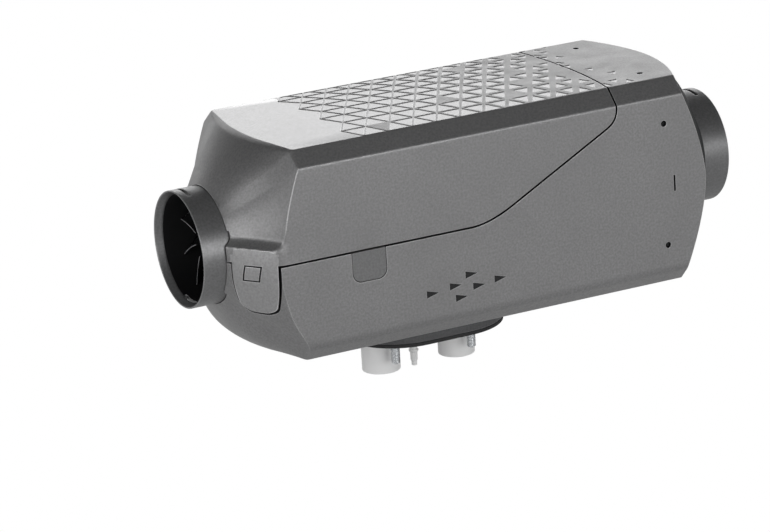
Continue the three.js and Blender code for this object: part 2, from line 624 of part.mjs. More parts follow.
// The dome inside the casing's outlet end, with the pegs and tongues that hold it.
function makeOutletHood() {
  const seat = WALL + SEAT_GAP;
  const skin = (draw) => {
    const rings = domeRings(OUTLET, HOOD_DOME, seat, draw);
    const recessed = rings.map((ring) => ring.map((p) => p.clone().setX(p.x - HOOD_RECESS)));
    const start = recessed[0].map((p) => new THREE.Vector3(HOOD_SKIRT_START - 2 * draw, p.y, p.z));
    return loft([start, ...recessed]);
  };
  let hood = cut(skin(0), skin(HOOD_WALL), spigotRoom(OUTLET));
  const half = TONGUE_THICKNESS / 2;
  const tongue = TONGUE_HEIGHT / 2 - PLUG_GAP;
  for (const side of [-1, 1]) {
    const [from, to] = onSide(side, HALF_WIDTH - seat - HOOD_WALL / 2, HALF_WIDTH - PEG_SINK);
    for (const z of [-PEG_Z, PEG_Z]) hood = join(hood, rodY(from, to, PEG_RADIUS, 8, PEG_X, z));
    hood = join(hood, block([TONGUE_X - half, from, -tongue], [TONGUE_X + half, to, tongue]));
    const [low, high] = onSide(side, HALF_HEIGHT - seat - HOOD_WALL / 2, HALF_HEIGHT - PEG_SINK);
    for (const y of [-PEG_Y, PEG_Y]) hood = join(hood, rodZ(low, high, PEG_RADIUS, 8, PEG_X, y));
  }
  piece("outlet_hood", hood, "dark_plastic");
}

// A duct spigot with a bevelled mouth, slots near its rim, and a seat flange inside the casing that is flat
// at the sides, where the cover's tabs pass.
function makeSpigot(name, end, innerEnd) {
  const seat = end.base - SPIGOT_FLANGE_DEPTH;
  const back = seat - SPIGOT_FLANGE_THICKNESS;
  const profile = [
    [end.rim, DUCT_RADIUS - SPIGOT_WALL + SPIGOT_BEVEL],
    [end.rim, DUCT_RADIUS - 0.4],
    [end.rim - 0.8, DUCT_RADIUS],
    [seat, DUCT_RADIUS],
    [seat, DUCT_RADIUS + SPIGOT_FLANGE],
    [back, DUCT_RADIUS + SPIGOT_FLANGE],
    [back, DUCT_RADIUS],
    [innerEnd, DUCT_RADIUS],
    [innerEnd, SPIGOT_BORE],
    [end.rim - SPIGOT_BEVEL_LENGTH, SPIGOT_BORE],
  ];
  const ring = turnX(closed(profile.map(([x, r]) => [end.sign * x, r])), 32);
  const flat = DUCT_RADIUS + TAB.clear / 2;
  const slotX = end.sign * (end.rim - SPIGOT_SLOT.setback);
  const [width, length] = [SPIGOT_SLOT.width / 2, SPIGOT_SLOT.length / 2];
  const slots = [-1, 1].map((side) => {
    const [low, high] = onSide(side, SPIGOT_BORE / 2, 2 * DUCT_RADIUS);
    return block([slotX - width, -length, low], [slotX + width, length, high]);
  });
  const flats = [-1, 1].map((side) => {
    const [near, far] = onSide(side, flat, FAR);
    return block([-FAR, near, -FAR], [FAR, far, FAR]);
  });
  piece(name, cut(ring, ...slots, ...flats), "dark_plastic");
}

// A blanking plug on the near side and a cable grommet on the far side, each holding the wall in a groove.
function makePlugs() {
  const inner = HALF_WIDTH - WALL - 2 * SEAT_GAP;
  const body = (side) => {
    const stem = extrudeY(plugOutline(0), ...onSide(side, inner - PLUG_FLANGE_THICKNESS, HALF_WIDTH));
    const flange = extrudeY(plugOutline(PLUG_FLANGE), ...onSide(side, inner - PLUG_FLANGE_THICKNESS, inner));
    return cut(join(stem, flange), coverRegion(SEAM_GAP));
  };
  piece("blanking_plug", body(-1), "plug_rubber");
  const z = SEAM_HEIGHT - PLUG_HEIGHT / 2;
  const back = HALF_WIDTH - WALL - CABLE_COLLAR_LENGTH;
  const collar = rodY(back, HALF_WIDTH, CABLE_COLLAR_RADIUS, 20, PLUG_X, z);
  const hole = rodY(0, FAR, CABLE_HOLE_RADIUS, 20, PLUG_X, z);
  piece("cable_grommet", cut(join(body(1), collar), hole), "plug_rubber");
}

// ---------------------------------------------------------------- foot

// The foot's plan, grown or drawn in.
function footOutline(grow) {
  return roundedRectangle(FOOT_X, 0, FOOT_LENGTH + 2 * grow, FOOT_WIDTH + 2 * grow, FOOT_CORNER + grow);
}

// Where the four mounting studs stand.
function studPlaces() {
  const places = [];
  for (const x of [AIR_STUB_X, EXHAUST_STUB_X])
    for (const y of [-STUD_SPACING_Y / 2, STUD_SPACING_Y / 2]) places.push([x, y]);
  return places;
}

function makeFoot() {
  const stub = (x, diameter) => {
    const radius = diameter / 2;
    const [end, top] = [CASING_FLOOR - STUB_END, FLANGE_BOTTOM + STUB_SEAT];
    const profile = [
      [end, radius - STUB_WALL], [end, radius - 0.5], [end + 0.5, radius],
      [top, radius], [top, radius - STUB_WALL],
    ];
    return turnZ(closed(profile), 24, x);
  };
  piece("combustion_air_stub", stub(AIR_STUB_X, AIR_STUB_DIAMETER), "bright_tube");
  piece("exhaust_stub", stub(EXHAUST_STUB_X, EXHAUST_STUB_DIAMETER), "bright_tube");
  studPlaces().forEach(([x, y], i) => {
    const [end, top, radius] = [CASING_FLOOR - STUD_END, FLANGE_BOTTOM + STUD_SEAT, STUD_DIAMETER / 2];
    const stud = turnZ([[end, 0], [end, radius - 1], [end + 1, radius], [top, radius], [top, 0]], 12, x, y);
    piece(`mounting_stud_${i + 1}`, stud, "zinc");
  });
  let seal = extrudeZ(footOutline(0), FOOT_FACE, FOOT_FACE + SEAL_THICKNESS);
  for (const [x, diameter] of [[AIR_STUB_X, AIR_STUB_DIAMETER], [EXHAUST_STUB_X, EXHAUST_STUB_DIAMETER]])
    seal = cut(seal, rodZ(-FAR, FAR, diameter / 2 + STUB_GAP, 24, x, 0));
  for (const [x, y] of studPlaces())
    seal = cut(seal, rodZ(-FAR, FAR, STUD_DIAMETER / 2 + STUB_GAP, 8, x, y));
  seal = cut(seal, rodZ(-FAR, FAR, FUEL_PIPE_DIAMETER / 2 + STUB_GAP, 12, FUEL_PIPE_X, FUEL_PIPE_Y));
  piece("foot_seal", seal, "gasket");
  makeFuelPipe();
}

function makeFuelPipe() {
  const radius = FUEL_PIPE_DIAMETER / 2;
  const tip = FUEL_PIPE_TIP_DIAMETER / 2;
  const bore = FUEL_PIPE_BORE / 2;
  const end = CASING_FLOOR - FUEL_PIPE_END;
  const top = -Math.sqrt(CHAMBER_RADIUS ** 2 - FUEL_PIPE_Y ** 2) - SEAT_GAP - 0.4;
  const profile = [
    [end, bore], [end, tip], [end + 3, tip], [end + 3.6, radius],
    [end + 9, radius], [end + 9.6, radius + FUEL_BEAD], [end + 11, radius + FUEL_BEAD], [end + 11.6, radius],
    [top, radius], [top, bore],
  ];
  piece("fuel_pipe", turnZ(closed(profile), 12, FUEL_PIPE_X, FUEL_PIPE_Y), "zinc");
}

// ---------------------------------------------------------------- blower

// One twisted fan blade from the hub to a radius, running back along a helix.
function fanBlade(root, tip, front, depth, wrap, thickness) {
  const [spans, chords] = [2, 4];
  const rings = [];
  for (let i = 0; i <= spans; i++) {
    const share = i / spans;
    const radius = root + (tip - root) * share;
    const sweep = THREE.MathUtils.degToRad(10) * (1 - share);
    const side = (k, face) => {
      const t = k / chords;
      const belly = thickness * (0.35 + Math.sin(Math.PI * t) * 0.65);
      const angle = sweep + wrap * t ** 1.35 + (face * belly) / 2 / radius;
      const x = front + depth * (1 - 0.12 * share) * t;
      return new THREE.Vector3(x, radius * Math.cos(angle), radius * Math.sin(angle));
    };
    const ring = [];
    for (let k = 0; k <= chords; k++) ring.push(side(k, 1));
    for (let k = chords; k >= 0; k--) ring.push(side(k, -1));
    rings.push(ring);
  }
  return loft(rings);
}

function makeImpeller() {
  const nose = FAN_FRONT + 4;
  const hub = turnX([
    [nose, 0], [nose + 1, FAN_HUB_RADIUS * 0.6], [nose + 4, FAN_HUB_RADIUS * 0.92],
    [nose + 8, FAN_HUB_RADIUS], [FAN_BACK, FAN_HUB_RADIUS], [FAN_BACK, 0],
  ], 18);
  const bore = rodX(nose + 3, FAN_BACK + 1, SHAFT_RADIUS + SHAFT_GAP, 16);
  const hollow = tubeX(FAN_FRONT + 14, FAN_BACK + 1, FAN_HUB_RADIUS - 2, SHAFT_RADIUS + 2.5, 18);
  const span = [FAN_HUB_RADIUS - 1, FAN_TIP_RADIUS];
  const blade = fanBlade(...span, FAN_FRONT, FAN_DEPTH - 2, FAN_WRAP, FAN_BLADE_THICKNESS);
  let wheel = hub;
  for (let i = 0; i < FAN_BLADES; i++)
    wheel = wheel.add(turned(blade, FAN_LEADING_ANGLE + (i * 2 * Math.PI) / FAN_BLADES));
  piece("hot_air_impeller", cut(wheel, hollow, bore), "blade_plastic");
}

// The combustion-air wheel: a disc with curved radial vanes and a collar on the shaft.
function makeCombustionWheel() {
  const disc = 1.8;
  const hubRadius = 8;
  const body = turnX([
    [WHEEL_FRONT, 0], [WHEEL_FRONT, WHEEL_RADIUS], [WHEEL_FRONT + disc, WHEEL_RADIUS],
    [WHEEL_FRONT + disc, hubRadius], [WHEEL_BACK, hubRadius], [WHEEL_BACK, 0],
  ], 24);
  const vane = (() => {
    const curve = new THREE.Shape();
    const [inner, outer, half] = [hubRadius - 1, WHEEL_RADIUS - 0.2, 0.7];
    curve.moveTo(inner, -half);
    curve.quadraticCurveTo((inner + outer) / 2, -half + 3, outer, -half - 2);
    curve.lineTo(outer, half - 2);
    curve.quadraticCurveTo((inner + outer) / 2, half + 3, inner, half);
    return extrudeX(curve, WHEEL_FRONT + disc / 2, WHEEL_BACK, 2);
  })();
  let wheel = body;
  for (let i = 0; i < WHEEL_VANES; i++)
    wheel = wheel.add(turned(vane, (i * 2 * Math.PI) / WHEEL_VANES));
  const bore = rodX(WHEEL_FRONT - 1, WHEEL_BACK + 1, SHAFT_RADIUS + SHAFT_GAP, 16);
  piece("combustion_air_wheel", cut(wheel, bore), "cast_aluminium");
}

function makeMotor() {
  const inner = MOTOR_RADIUS - MOTOR_WALL;
  const shoulder = BEARING_RADIUS + SEAT_GAP;
  const frontWall = MOTOR_FRONT + MOTOR_WALL;
  const can = turnX(closed([
    [MOTOR_FRONT, shoulder], [MOTOR_FRONT, MOTOR_RADIUS - 2], [MOTOR_FRONT + 2, MOTOR_RADIUS],
    [MOTOR_BACK, MOTOR_RADIUS], [MOTOR_BACK, inner], [frontWall, inner], [frontWall, shoulder + 2],
    [MOTOR_FRONT + BEARING_WIDTH + 1, shoulder + 2], [MOTOR_FRONT + BEARING_WIDTH + 1, shoulder],
  ]), 24);
  const vent = extrudeX(roundedRectangle(0, inner * 0.68, 7, 9, 2.5), MOTOR_FRONT - 1, frontWall + 1, 1);
  const vents = [0, 1, 2, 3, 4, 5].map((i) => turned(vent, ((i + 0.5) * Math.PI) / 3));
  piece("motor_can", cut(can, ...vents), "zinc");
  makeMagnets(inner, frontWall);
  const [armatureFront, armatureBack] = [frontWall + 9, MOTOR_BACK - 9];
  const armatureRadius = inner - SEAT_GAP - MAGNET_THICKNESS - ARMATURE_GAP;
  const slotShape = roundedRectangle(0, armatureRadius - 2, 2, 9, 0.9);
  const slot = extrudeX(slotShape, armatureFront - 1, armatureBack + 1, 1);
  const slots = [];
  for (let i = 0; i < ARMATURE_SLOTS; i++) slots.push(turned(slot, (i * 2 * Math.PI) / ARMATURE_SLOTS));
  const core = tubeX(armatureFront, armatureBack, armatureRadius, SHAFT_RADIUS + SHAFT_GAP, 27);
  piece("motor_armature", cut(core, ...slots), "copper");
  const commutator = tubeX(armatureBack + SEAT_GAP, armatureBack + 7, 8, SHAFT_RADIUS + SHAFT_GAP, 18);
  piece("motor_commutator", commutator, "copper");
  const shaftFront = FAN_FRONT + 8;
  piece("motor_shaft", rodX(shaftFront, WHEEL_BACK + WHEEL_GAP / 2, SHAFT_RADIUS, 16), "zinc");
  const bearing = (from) => tubeX(from, from + BEARING_WIDTH, BEARING_RADIUS, SHAFT_RADIUS + SHAFT_GAP, 16);
  piece("front_bearing", bearing(MOTOR_FRONT), "zinc");
  piece("rear_bearing", bearing(MOTOR_BACK + SEAT_GAP), "zinc");
}

// Two curved field magnets inside the motor can.
function makeMagnets(inner, frontWall) {
  const radius = inner - SEAT_GAP;
  const [from, to] = [frontWall + 7, MOTOR_BACK - 7];
  const arc = THREE.MathUtils.degToRad(70);
  [-1, 1].forEach((side, i) => {
    const shape = new THREE.Shape();
    const middle = (side * Math.PI) / 2;
    shape.absarc(0, 0, radius, middle - arc, middle + arc, false);
    shape.absarc(0, 0, radius - MAGNET_THICKNESS, middle + arc, middle - arc, true);
    piece(`field_magnet_${i + 1}`, extrudeX(shape, from, to, 6), "gasket");
  });
}

// The cast housing between motor and exchanger: the motor's socket, the wheel's chamber and the air snout.
function makeBlowerHousing() {
  const socket = MOTOR_RADIUS + SEAT_GAP;
  const web = MOTOR_BACK + SEAT_GAP;
  let housing = rodX(BLOWER_FRONT, BLOWER_BACK, BLOWER_RADIUS, 28);
  housing = cut(
    housing,
    rodX(BLOWER_FRONT - 1, web, socket, 28),
    rodX(web - 1, web + BEARING_WIDTH + SEAT_GAP, BEARING_RADIUS + SEAT_GAP, 24),
    rodX(web, BLOWER_BACK + 1, SHAFT_RADIUS + 2, 20),
    rodX(WHEEL_CHAMBER_FRONT, BLOWER_BACK + 1, WHEEL_CHAMBER_RADIUS, 28),
  );
  housing = join(housing, rodZ(SNOUT_BOTTOM, -BLOWER_RADIUS + 6, SNOUT_RADIUS, 20, SNOUT_X, 0));
  housing = cut(
    housing,
    rodZ(SNOUT_BOTTOM - 1, -WHEEL_CHAMBER_RADIUS + 3, SNOUT_BORE, 20, SNOUT_X, 0),
    rodX(WHEEL_CHAMBER_FRONT, BLOWER_BACK + 1, WHEEL_CHAMBER_RADIUS, 28),
    ...screwPlaces().map(([y, z]) => rodX(BLOWER_FRONT - 1, BLOWER_BACK + 1, SCREW_HOLE, 8, y, z)),
  );
  const postX = BLOWER_FRONT + UNIT_POST_RADIUS + 1;
  for (const y of [-UNIT_POST_Y, UNIT_POST_Y]) {
    const post = rodZ(0, UNIT_BOTTOM - SEAT_GAP, UNIT_POST_RADIUS, 16, postX, y);
    const trimmed = cut(post, rodX(BLOWER_FRONT - 9, BLOWER_BACK + 9, BLOWER_RADIUS - 2, 36));
    housing = join(housing, trimmed);
  }
  piece("blower_housing", largest(housing), "cast_aluminium");
  const eye = 12;
  const plate = tubeX(PLATE_FRONT, PLATE_FRONT + PLATE_THICKNESS, BLOWER_RADIUS, eye, 28);
  const gasket = tubeX(GASKET_FRONT, GASKET_FRONT + GASKET_THICKNESS, BLOWER_RADIUS, CHAMBER_RADIUS + 4, 28);
  const holes = screwPlaces().map(([y, z]) => rodX(-FAR, 0, SCREW_HOLE, 8, y, z));
  piece("blower_plate", cut(plate, ...holes), "burner_steel");
  piece("burner_gasket", cut(gasket, ...holes), "gasket");
  screwPlaces().forEach(([y, z], i) => {
    const [head, end] = [BLOWER_FRONT - SEAT_GAP, EXCHANGER_FRONT + SCREW_DEPTH];
    const screw = turnX([
      [head - SCREW_HEAD, 0], [head - SCREW_HEAD, SCREW_HEAD_RADIUS], [head, SCREW_HEAD_RADIUS],
      [head, SCREW_RADIUS], [end, SCREW_RADIUS], [end, 0],
    ], 8, y, z);
    piece(`flange_screw_${i + 1}`, screw, "zinc");
  });
}

// The four screws that hold the blower to the exchanger.
function screwPlaces() {
  return [45, 135, 225, 315].map((degrees) => {
    const angle = THREE.MathUtils.degToRad(degrees);
    return [SCREW_CIRCLE * Math.cos(angle), SCREW_CIRCLE * Math.sin(angle)];
  });
}

// ---------------------------------------------------------------- exchanger and burner

// How far from the axis a rounded square of half side FIN_REACH lies at an angle.
function finReach(angle) {
  const [c, s] = [Math.abs(Math.cos(angle)), Math.abs(Math.sin(angle))];
  const flat = FIN_REACH / Math.max(c, s);
  const middle = FIN_REACH - FIN_CORNER;
  const along = middle * (c + s);
  const across = 2 * middle ** 2 - FIN_CORNER ** 2;
  const round = along + Math.sqrt(Math.max(0, along ** 2 - across));
  return Math.min(flat, round);
}

// The exchanger's cross-section: a round core with straight fins out to a rounded square.
function finnedShape() {
  const points = [];
  for (let i = 0; i < FIN_COUNT; i++) {
    const angle = (i + 0.5) * ((2 * Math.PI) / FIN_COUNT);
    const at = (radius, offset) =>
      new THREE.Vector2(
        radius * Math.cos(angle) - offset * Math.sin(angle),
        radius * Math.sin(angle) + offset * Math.cos(angle),
      );
    const reach = finReach(angle);
    points.push(at(CORE_RADIUS, -FIN_ROOT / 2), at(reach, -FIN_TIP / 2));
    points.push(at(reach, FIN_TIP / 2), at(CORE_RADIUS, FIN_ROOT / 2));
  }
  return new THREE.Shape(points);
}

function makeExchanger() {
  const [front, back] = [EXCHANGER_FRONT, EXCHANGER_BACK];
  const tall = FIN_REACH * Math.SQRT2;
  const ends = turnX([
    [front, 0], [front, CORE_RADIUS], [front + FIN_TAPER, tall], [back - 2 * FIN_TAPER, tall],
    [back - FIN_TAPER / 2, CORE_RADIUS], [back, CORE_RADIUS * 0.7], [back, 0],
  ], FIN_COUNT);
  let body = common(extrudeX(finnedShape(), front, back), ends);
  const neckTop = -BLOWER_RADIUS - 4;
  const neck = extrudeZ(footOutline(-NECK_INSET), FLANGE_TOP - 1, neckTop, 4);
  const flange = extrudeZ(footOutline(0), FLANGE_BOTTOM, FLANGE_TOP, 4);
  const airBore = AIR_STUB_DIAMETER / 2 - STUB_WALL;
  const exhaustBore = EXHAUST_STUB_DIAMETER / 2 - STUB_WALL;
  body = join(
    body,
    neck,
    flange,
    rodZ(FLANGE_TOP, -CORE_RADIUS / 2, BOSS_RADIUS, 28, EXHAUST_STUB_X, 0),
    common(
      rodZ(FLANGE_TOP, -CORE_RADIUS / 2, BOSS_RADIUS / 2, 20, FUEL_PIPE_X, FUEL_PIPE_Y),
      rodX(front, back, FAR, 36),
    ),
    rodZ(0, CORE_RADIUS + 6, GLOW_PLUG_RADIUS + 5.5, 20, GLOW_PLUG_X, 0),
  );
  const flueTop = -CORE_BORE + 4;
  const tapped = front + SCREW_DEPTH + 1;
  body = cut(
    body,
    rodX(front - 1, back - CORE_END, CORE_BORE, 28),
    rodZ(FLANGE_BOTTOM - 1, flueTop, exhaustBore, 28, EXHAUST_STUB_X, 0),
    rodZ(FLANGE_BOTTOM - 1, SNOUT_BOTTOM - SNOUT_RADIUS, airBore, 28, AIR_STUB_X, 0),
    rodX(SNOUT_X, AIR_STUB_X, SNOUT_BORE, 20, 0, SNOUT_BOTTOM - SNOUT_RADIUS - SNOUT_BORE + 1),
    rodZ(SNOUT_BOTTOM - SNOUT_RADIUS - SNOUT_BORE, SNOUT_BOTTOM, SNOUT_BORE, 20, SNOUT_X, 0),
    rodZ(SNOUT_BOTTOM - SEAT_GAP, 0, SNOUT_RADIUS + SEAT_GAP, 24, SNOUT_X, 0),
    rodZ(FLANGE_BOTTOM - 1, 0, FUEL_PIPE_DIAMETER / 2 + STUB_GAP, 16, FUEL_PIPE_X, FUEL_PIPE_Y),
    rodZ(0, FAR, GLOW_PLUG_RADIUS + STUB_GAP, 20, GLOW_PLUG_X, 0),
    ...screwPlaces().map(([y, z]) => rodX(front - 1, tapped, SCREW_RADIUS + STUB_GAP, 8, y, z)),
  );
  const socket = (depth, diameter, segments, x, y) => {
    const top = FLANGE_BOTTOM + depth + STUB_GAP;
    return rodZ(FLANGE_BOTTOM - 1, top, diameter / 2 + STUB_GAP, segments, x, y);
  };
  body = cut(
    body,
    socket(STUB_SEAT, AIR_STUB_DIAMETER, 24, AIR_STUB_X, 0),
    socket(STUB_SEAT, EXHAUST_STUB_DIAMETER, 24, EXHAUST_STUB_X, 0),
    ...studPlaces().map(([x, y]) => socket(STUD_SEAT, STUD_DIAMETER, 8, x, y)),
  );
  const half = SENSOR_POCKET_WIDTH / 2;
  const pocket = block([SENSOR_X - half, -half, CORE_RADIUS - 1], [SENSOR_X + half, half, FAR]);
  piece("heat_exchanger", largest(cut(body, pocket)), "cast_aluminium");
}

// The combustion chamber, the flame tube round its end, the glow plug and the overheat sensor.
function makeBurner() {
  const start = EXCHANGER_FRONT + 1;
  const [flange, bore] = [CORE_BORE - STUB_GAP, CHAMBER_RADIUS - CHAMBER_WALL];
  const end = start + CHAMBER_LENGTH;
  const rimRadius = FLAME_TUBE_RADIUS - FLAME_TUBE_WALL - SEAT_GAP;
  const intake = 9;
  const chamber = turnX(closed([
    [start, intake], [start, flange], [start + 2, flange], [start + 2, CHAMBER_RADIUS],
    [end - 5, CHAMBER_RADIUS], [end - 3, rimRadius], [end, rimRadius], [end, bore], [start + 2, bore],
    [start + 2, intake],
  ]), 24);
  const holes = [];
  for (const x of [end - 14, end - 24])
    for (let i = 0; i < CHAMBER_HOLES; i++) {
      const hole = rodZ(0, CHAMBER_RADIUS + 4, CHAMBER_HOLE_RADIUS, 6, x, 0);
      holes.push(turned(hole, ((i + 0.5) * 2 * Math.PI) / CHAMBER_HOLES));
    }
  const plugHole = rodZ(0, FAR, GLOW_PLUG_RADIUS + STUB_GAP, 16, GLOW_PLUG_X, 0);
  piece("combustion_chamber", cut(chamber, ...holes, plugHole), "burner_steel");
  const tubeFront = end - 8 + SEAT_GAP;
  const tubeEnds = [Math.max(tubeFront, end - 3), tubeFront + FLAME_TUBE_LENGTH];
  const tube = tubeX(...tubeEnds, FLAME_TUBE_RADIUS, FLAME_TUBE_RADIUS - FLAME_TUBE_WALL, 24);
  piece("flame_tube", tube, "burner_steel");
  const tip = CHAMBER_RADIUS - 9;
  const seat = CORE_RADIUS + 6 + SEAT_GAP;
  const plug = turnZ([
    [tip, 0], [tip, 1.8], [tip + 6, 2.4], [CHAMBER_RADIUS + 2, 2.4], [CHAMBER_RADIUS + 4, GLOW_PLUG_RADIUS],
    [seat, GLOW_PLUG_RADIUS], [seat, GLOW_PLUG_HEX], [seat + 5, GLOW_PLUG_HEX], [seat + 5, 2.2],
    [GLOW_PLUG_TOP, 2.2], [GLOW_PLUG_TOP, 0],
  ], 12, GLOW_PLUG_X);
  piece("glow_plug", plug, "zinc");
  const sensor = turnZ([
    [SENSOR_BASE, 0], [SENSOR_BASE, SENSOR_RADIUS], [SENSOR_BASE + 3, SENSOR_RADIUS],
    [SENSOR_BASE + 4, SENSOR_RADIUS - 2], [SENSOR_BASE + SENSOR_HEIGHT, SENSOR_RADIUS - 2],
    [SENSOR_BASE + SENSOR_HEIGHT, 0],
  ], 18, SENSOR_X);
  piece("overheat_sensor", sensor, "burner_steel");
}

// ---------------------------------------------------------------- control unit

// The unit's tray with ribs and connector sockets, scooped out over the motor, its lid and its connectors.
function makeControlUnit() {
  const plan = (grow) =>
    roundedRectangle(UNIT_X, 0, UNIT_LENGTH + 2 * grow, UNIT_WIDTH + 2 * grow, UNIT_CORNER);
  const socketBack = UNIT_BACK + CONNECTOR_LENGTH;
  const places = [-CONNECTOR_Y, CONNECTOR_Y];
  const sockets = places.map((y) => connectorBlock(y, 0, UNIT_BACK - 2, socketBack));
  const mouths = places.map((y) => connectorBlock(y, CONNECTOR_WALL, UNIT_BACK + 2, socketBack + 1));
  const scoop = rodX(UNIT_FRONT - 9, UNIT_BACK - 20, MOTOR_RADIUS + 3, 40);
  const tray = join(extrudeZ(plan(0), UNIT_BOTTOM, UNIT_BOTTOM + UNIT_HEIGHT, 3), ...unitRibs());
  piece("control_unit", largest(cut(join(tray, ...sockets), ...mouths, scoop)), "dark_plastic");
  piece("control_unit_lid", extrudeZ(plan(UNIT_LID_OVERLAP), UNIT_LID_BOTTOM, UNIT_TOP, 3), "cast_aluminium");
  places.forEach((y, i) => {
    const drawn = CONNECTOR_WALL + SEAT_GAP;
    const plug = connectorBlock(y, drawn, UNIT_BACK + 2 + SEAT_GAP, socketBack + CONNECTOR_GRIP);
    piece(i ? "sensor_connector" : "glow_plug_connector", plug, "blade_plastic");
  });
  makeLeads();
}

// The room of a connector about y, drawn in on its four sides, along X.
function connectorBlock(y, drawn, from, to) {
  const half = CONNECTOR_WIDTH / 2 - drawn;
  const [bottom, top] = [CONNECTOR_BOTTOM + drawn, CONNECTOR_BOTTOM + CONNECTOR_HEIGHT - drawn];
  return block([from, y - half, bottom], [to, y + half, top]);
}

// Upright ribs over the unit's front.
function unitRibs() {
  const span = UNIT_WIDTH - 4 * UNIT_CORNER;
  const ribs = [];
  for (let i = 0; i < UNIT_RIBS; i++) {
    const y = (i / (UNIT_RIBS - 1) - 0.5) * span;
    const top = UNIT_BOTTOM + UNIT_HEIGHT - 2;
    ribs.push(block([UNIT_FRONT - 1.5, y - 0.9, UNIT_BOTTOM + 1], [UNIT_FRONT + 1, y + 0.9, top]));
  }
  return ribs;
}

// The leads from the unit's connectors to the glow plug and the sensor, kept between the fins and the cover.
function makeLeads() {
  const glowTop = GLOW_PLUG_TOP + SEAT_GAP;
  makeLead("glow_plug_lead", [
    [LEAD_START, -CONNECTOR_Y, LEAD_HEIGHT],
    [LEAD_START + 5, -CONNECTOR_Y, LEAD_HEIGHT + 1],
    [GLOW_PLUG_X - 5, -CONNECTOR_Y * 0.6, LEAD_CROWN - 1],
    [GLOW_PLUG_X, -CONNECTOR_Y * 0.2, glowTop + 4.5],
    [GLOW_PLUG_X, 0, glowTop + 3],
    [GLOW_PLUG_X, 0, glowTop],
  ]);
  const sensorTop = SENSOR_BASE + SENSOR_HEIGHT + SEAT_GAP;
  makeLead("sensor_lead", [
    [LEAD_START, CONNECTOR_Y, LEAD_HEIGHT],
    [LEAD_START + 4, CONNECTOR_Y, LEAD_HEIGHT],
    [LEAD_START + 14, CONNECTOR_Y - 1, LEAD_CROWN - 1],
    [SENSOR_X * 0.65 + LEAD_START * 0.35, CONNECTOR_Y * 0.5, LEAD_CROWN],
    [SENSOR_X - 4, 2, Math.min(sensorTop + 8, LEAD_CROWN)],
    [SENSOR_X, 0, Math.min(sensorTop + 4, LEAD_CROWN - 2)],
    [SENSOR_X, 0, sensorTop],
  ]);
}

function makeLead(name, route) {
  const curve = new THREE.CatmullRomCurve3(route.map((p) => new THREE.Vector3(...p)), false, "centripetal");
  const section = new THREE.Shape().absarc(0, 0, LEAD_DIAMETER / 2, 0, 2 * Math.PI);
  const steps = Math.ceil(curve.getLength() / (3 * LEAD_DIAMETER)) + 4;
  const along = { steps, extrudePath: curve, curveSegments: 3, bevelEnabled: false };
  piece(name, solid(new THREE.ExtrudeGeometry(section, along)), "lead_sheath");
}

// ---------------------------------------------------------------- assembly

makeCasing();
makeOutletHood();
makeSpigot("inlet_spigot", INLET, -FAN_BACK);
makeSpigot("outlet_spigot", OUTLET, OUTLET.base - OUTLET_SLEEVE);
makePlugs();
makeFoot();
makeImpeller();
makeMotor();
makeCombustionWheel();
makeBlowerHousing();
makeExchanger();
makeBurner();
makeControlUnit();

export default group;
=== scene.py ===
"""The looks of a diesel air heater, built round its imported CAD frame."""
import math

import bmesh
import bpy
import numpy as np
from mathutils import Matrix, Vector


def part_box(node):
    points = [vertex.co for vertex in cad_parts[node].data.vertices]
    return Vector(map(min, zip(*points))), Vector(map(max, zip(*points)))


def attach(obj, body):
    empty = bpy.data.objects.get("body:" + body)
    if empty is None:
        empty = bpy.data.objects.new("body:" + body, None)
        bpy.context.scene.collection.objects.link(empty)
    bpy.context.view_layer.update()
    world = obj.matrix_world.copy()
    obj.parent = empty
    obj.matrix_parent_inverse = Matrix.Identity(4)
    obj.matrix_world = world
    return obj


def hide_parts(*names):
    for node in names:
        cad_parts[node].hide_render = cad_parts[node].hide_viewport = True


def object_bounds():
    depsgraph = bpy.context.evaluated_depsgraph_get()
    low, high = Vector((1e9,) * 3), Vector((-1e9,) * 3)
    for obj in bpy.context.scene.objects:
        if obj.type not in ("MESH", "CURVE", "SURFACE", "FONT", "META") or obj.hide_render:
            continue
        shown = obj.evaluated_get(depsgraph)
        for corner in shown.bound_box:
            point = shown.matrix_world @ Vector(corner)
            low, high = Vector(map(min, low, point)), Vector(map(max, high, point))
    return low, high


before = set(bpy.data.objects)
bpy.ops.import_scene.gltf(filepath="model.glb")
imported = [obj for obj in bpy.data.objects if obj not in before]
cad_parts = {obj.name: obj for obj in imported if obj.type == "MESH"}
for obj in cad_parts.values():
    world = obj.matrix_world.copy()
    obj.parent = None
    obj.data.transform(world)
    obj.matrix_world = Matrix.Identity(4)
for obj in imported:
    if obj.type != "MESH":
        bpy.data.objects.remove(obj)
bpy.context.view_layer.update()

# -------- sizes
# Millimetres, from the point where the fan axis crosses the casing's middle, with X along the air
# and Z up, as in the CAD part. AXIS moves them to the row frame.

MM = 0.001  # in metres


def box_mm(node):
    """The lowest and highest corner of a CAD node, in row millimetres."""
    return [np.array(corner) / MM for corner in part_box(node)]


SHELL_LOW, SHELL_HIGH = box_mm("lower_shell")
OUTLET_RIM_X = box_mm("outlet_spigot")[1][0]
HALF_WIDTH = SHELL_HIGH[1]
HALF_HEIGHT = (SHELL_HIGH[2] - SHELL_LOW[2]) / 2
HALF_LENGTH = 166.4
OUTLET = {"sign": 1, "side_sag": 18.8, "top_sag": 20.4, "rise": 1.6, "length": 16.7}
INLET = {"sign": -1, "side_sag": 11.6, "top_sag": 17.5, "rise": 10.2, "length": 18.2}
for end in (INLET, OUTLET):
    end["base"] = HALF_LENGTH + end["rise"]
    end["rim"] = end["base"] + end["length"]
AXIS = np.array([OUTLET_RIM_X - OUTLET["rim"], 0.0, (SHELL_LOW[2] + SHELL_HIGH[2]) / 2])

